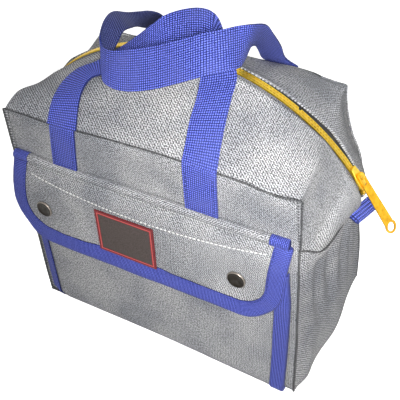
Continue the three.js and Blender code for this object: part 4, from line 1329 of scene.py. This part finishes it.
class HandleOperator(bpy.types.Operator):
    """Webbing handles and the legs that they are sewn down with"""

    bl_idname = "tool_bag.handles"
    bl_label = "Handles"

    def execute(self, context):
        form = BagForm(context.scene)
        blue = finish("Blue webbing")
        # The inner sides are drawn in darker navy: painted shade.
        faces = (blue, finish("Navy webbing inside"))
        half = form.handle.width / 2
        legs = (form.handle.left, form.handle.right)

        def edge(leg, x, y, lift):
            x, y = leg + x * MM, y * MM
            return form.laid(x, y, form.hood_height(x, y) + lift * MM)

        for name, side, tables, start in (
            ("front", -1, (FRONT_LEFT, FRONT_RIGHT), -1),
            ("back", 1, (BACK_LEFT, BACK_RIGHT), 1),
        ):

            def root(leg, turn, side=side):
                y, z = side * (form.body.seam_depth / 2 + 1.5 * MM), form.body.seam_height + 0.9 * MM
                return tuple(form.laid(leg + across, y, z) for across in (turn * half, -turn * half))

            rows = [root(legs[0], start)]
            for leg, table in zip(legs, tables):
                rows += [(edge(leg, *row[:3]), edge(leg, *row[3:])) for row in table]
            rows.append(root(legs[1], 1))
            webbing_piece(
                f"handle_webbing_{name}", rows, 14 * (len(rows) - 1), faces, f"handle_{name}", [f"handle_{name}"],
                form.handle.thickness,
            )
            for (leg_name, _), leg in zip(ENDS, legs):
                self.leg(form, f"{name}_{leg_name}", side, leg, blue)
        return {"FINISHED"}

    def leg(self, form, name, side, x, blue):
        """The front left leg is drawn narrower and leans to the left, as it is seen."""
        narrow, shift = (2 * MM, -6 * MM) if side < 0 and x < 0 else (0, 0)
        half = form.handle.width / 2 - narrow
        low, high = form.flap.hinge + 2 * MM, form.body.seam_height + 0.4 * MM
        rows = []
        for share in steps(0, 1, 5):
            z = mix(low, high, share)
            y = side * (form.half_depth(z) + mix(1.5, 1.9, hump(share, 0, 1)) * MM)
            rows.append(tuple(form.laid(x + shift * (1 - share) + across, y, z) for across in (half, -half)))
        webbing_piece(f"leg_webbing_{name}", rows, 20, blue, "bag", [f"strap_leg_{name}"], form.handle.thickness)
        left, right = x - half + 3 * MM, x + half - 3 * MM
        foot, top = low + 4 * MM, high - 5 * MM
        corners = [Vector((a, 0, z)) for a, z in ((left, foot), (right, foot), (right, top), (left, top))]
        lines = []
        for a, b in zip(corners, corners[1:] + corners[:1]):
            line = []
            for p in (a.lerp(b, share) for share in steps(0, 1, 120)):
                leaning = shift * (high - p.z) / (high - low)
                y = form.half_depth(p.z) + 2.95 * MM
                line.append((form.laid(p.x + leaning, side * y, p.z), Vector((0, side, 0))))
            lines.append(line)
        stitch_piece(f"leg_stitches_{name}", lines, finish("Blue thread"), "bag")


class LoopOperator(bpy.types.Operator):
    """Folded webbing loops under the ends of the zip"""

    bl_idname = "tool_bag.loops"
    bl_label = "End loops"

    def execute(self, context):
        # The loops slope down from the zip, and turn to one side.
        fall = 0.8 * math.tan(math.radians(22))
        turned = Matrix.Rotation(math.radians(-18), 4, "Z")
        for name, end in ENDS:
            low, high = (Vector(c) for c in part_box(f"end_tab_{name}"))
            inner, outer = (low.x, high.x) if end > 0 else (high.x, low.x)
            root = Vector((inner, 0, 0))

            def at(share, lift):
                x = mix(inner + end * 1.2 * MM, outer - end * 1.6 * MM, share)
                return Vector((x, 0, high.z - 3.6 * MM - abs(x - inner) * fall + lift * MM))

            # Out along the underside, round the fold, and back along the top.
            ways = ((0.12, -2), (0.6, -1.9), (0.93, -1.5), (1, 0), (0.93, 1.6), (0.6, 1.9), (0.2, 1.9))
            start = Vector((inner + end * 0.9 * MM, 0, low.z + 0.5 * MM))
            line = smooth_line([start] + [at(*way) for way in ways])

            def surface(u, v):
                p = line(u)
                y = mix(low.y, high.y, v) * 1.12
                spread = turned @ (Vector((p.x, y, 0)) - root) * (1 if u > 0.12 else 0.98)
                return Vector((inner + spread.x, spread.y, p.z + 0.6 * MM * wool(Vector((p.x, y, 0)), 0.01)))

            cloth_piece(
                f"end_loop_{name}", surface, 48, 10, finish("Blue webbing"), "bag",
                [f"end_tab_{name}"], thickness=1.7 * MM, offset=0,
            )
        return {"FINISHED"}


class StageOperator(bpy.types.Operator):
    """White floor, soft lamps and the camera"""

    bl_idname = "tool_bag.stage"
    bl_label = "Stage"

    def execute(self, context):
        context.scene.view_settings.view_transform = "Standard"
        self.floor()
        self.world(context.scene)
        for lamp in LAMPS:
            self.lamp(*lamp)
        self.camera(context.scene)
        return {"FINISHED"}

    def camera(self, scene):
        camera = bpy.data.objects.new("Camera", bpy.data.cameras.new("Camera"))
        scene.collection.objects.link(camera)
        azimuth, height, roll = (math.radians(a) for a in CAMERA_TURN)
        back = Vector((math.sin(azimuth) * math.cos(height), -math.cos(azimuth) * math.cos(height), math.sin(height)))
        right = (-back).cross(Vector((0, 0, 1))).normalized()
        up = right.cross(-back)
        right, up = right * math.cos(roll) + up * math.sin(roll), up * math.cos(roll) - right * math.sin(roll)
        place = Vector(CAMERA_AIM) + back * CAMERA_DISTANCE
        camera.matrix_world = Matrix.Translation(place) @ Matrix((right, up, back)).transposed().to_4x4()
        camera.data.lens = CAMERA_LENS
        camera.data.clip_start = 0.01
        scene.camera = camera

    def floor(self):
        bm = bmesh.new()
        bmesh.ops.create_grid(bm, x_segments=1, y_segments=1, size=6)
        floor = bpy.data.objects.new("floor", mesh_from(bm, "floor", smooth=False))
        bpy.context.scene.collection.objects.link(floor)
        floor.location.z = -0.2 * MM
        material = bpy.data.materials.new("White floor")
        nodes = Nodes(material)
        paper = nodes.node("ShaderNodeBsdfDiffuse", {"Color": (0.8, 0.8, 0.8, 1)})
        glow = nodes.node("ShaderNodeEmission", {"Strength": FLOOR_GLOW})
        both = nodes.node("ShaderNodeAddShader")
        nodes.link(paper, 0, both, 0)
        nodes.link(glow, 0, both, 1)
        nodes.show(paper, both, "ShaderNodeOutputMaterial")
        floor.data.materials.append(material)

    def world(self, scene):
        scene.world = bpy.data.worlds.new("Studio")
        nodes = Nodes(scene.world)
        soft = nodes.node("ShaderNodeBackground", {"Color": (1.0, 0.98, 0.95, 1), "Strength": WORLD_LIGHT})
        white = nodes.node("ShaderNodeBackground", {"Color": (1, 1, 1, 1), "Strength": 1.0})
        nodes.show(soft, white, "ShaderNodeOutputWorld")

    def lamp(self, name, place, size, power, aim, spread):
        light = bpy.data.lights.new(name, "AREA")
        light.size = size
        light.energy = power
        light.spread = math.radians(spread)
        lamp = bpy.data.objects.new(name, light)
        bpy.context.scene.collection.objects.link(lamp)
        lamp.location = place
        lamp.rotation_euler = (Vector(aim) - Vector(place)).to_track_quat("-Z", "Y").to_euler()


OPERATORS = (
    BodyOperator, HoodOperator, ZipOperator, PocketOperator, FlapOperator, SnapOperator, PatchOperator,
    HandleOperator, LoopOperator, StageOperator,
)
GROUPS = (
    ("tool_bag_body", BodySizes), ("tool_bag_zip", ZipSizes), ("tool_bag_flap", FlapSizes),
    ("tool_bag_handle", HandleSizes), ("tool_bag_colours", BagColours),
)


class ToolBagPanel(bpy.types.Panel):
    """Sizes, colours and pieces of the tool bag"""

    bl_idname = "VIEW3D_PT_tool_bag"
    bl_label = "Tool bag"
    bl_space_type = "VIEW_3D"
    bl_region_type = "UI"
    bl_category = "Tool bag"

    def draw(self, context):
        for operator in OPERATORS:
            self.layout.operator(operator.bl_idname)
        for key, group in GROUPS:
            box = self.layout.box()
            for name in group.__annotations__:
                box.prop(getattr(context.scene, key), name)


def register():
    for key, group in GROUPS:
        bpy.utils.register_class(group)
        setattr(bpy.types.Scene, key, PointerProperty(type=group))
    for operator in OPERATORS:
        bpy.utils.register_class(operator)
    bpy.utils.register_class(ToolBagPanel)


def unregister():
    bpy.utils.unregister_class(ToolBagPanel)
    for operator in reversed(OPERATORS):
        bpy.utils.unregister_class(operator)
    for key, group in reversed(GROUPS):
        delattr(bpy.types.Scene, key)
        bpy.utils.unregister_class(group)


def main():
    register()
    bpy.ops.tool_bag.stage()
    bpy.ops.tool_bag.body()
    bpy.ops.tool_bag.hood()
    bpy.ops.tool_bag.zip()
    bpy.ops.tool_bag.pockets()
    bpy.ops.tool_bag.flaps()
    bpy.ops.tool_bag.snaps()
    bpy.ops.tool_bag.patch()
    bpy.ops.tool_bag.handles()
    bpy.ops.tool_bag.loops()


if __name__ == "__main__":
    main()
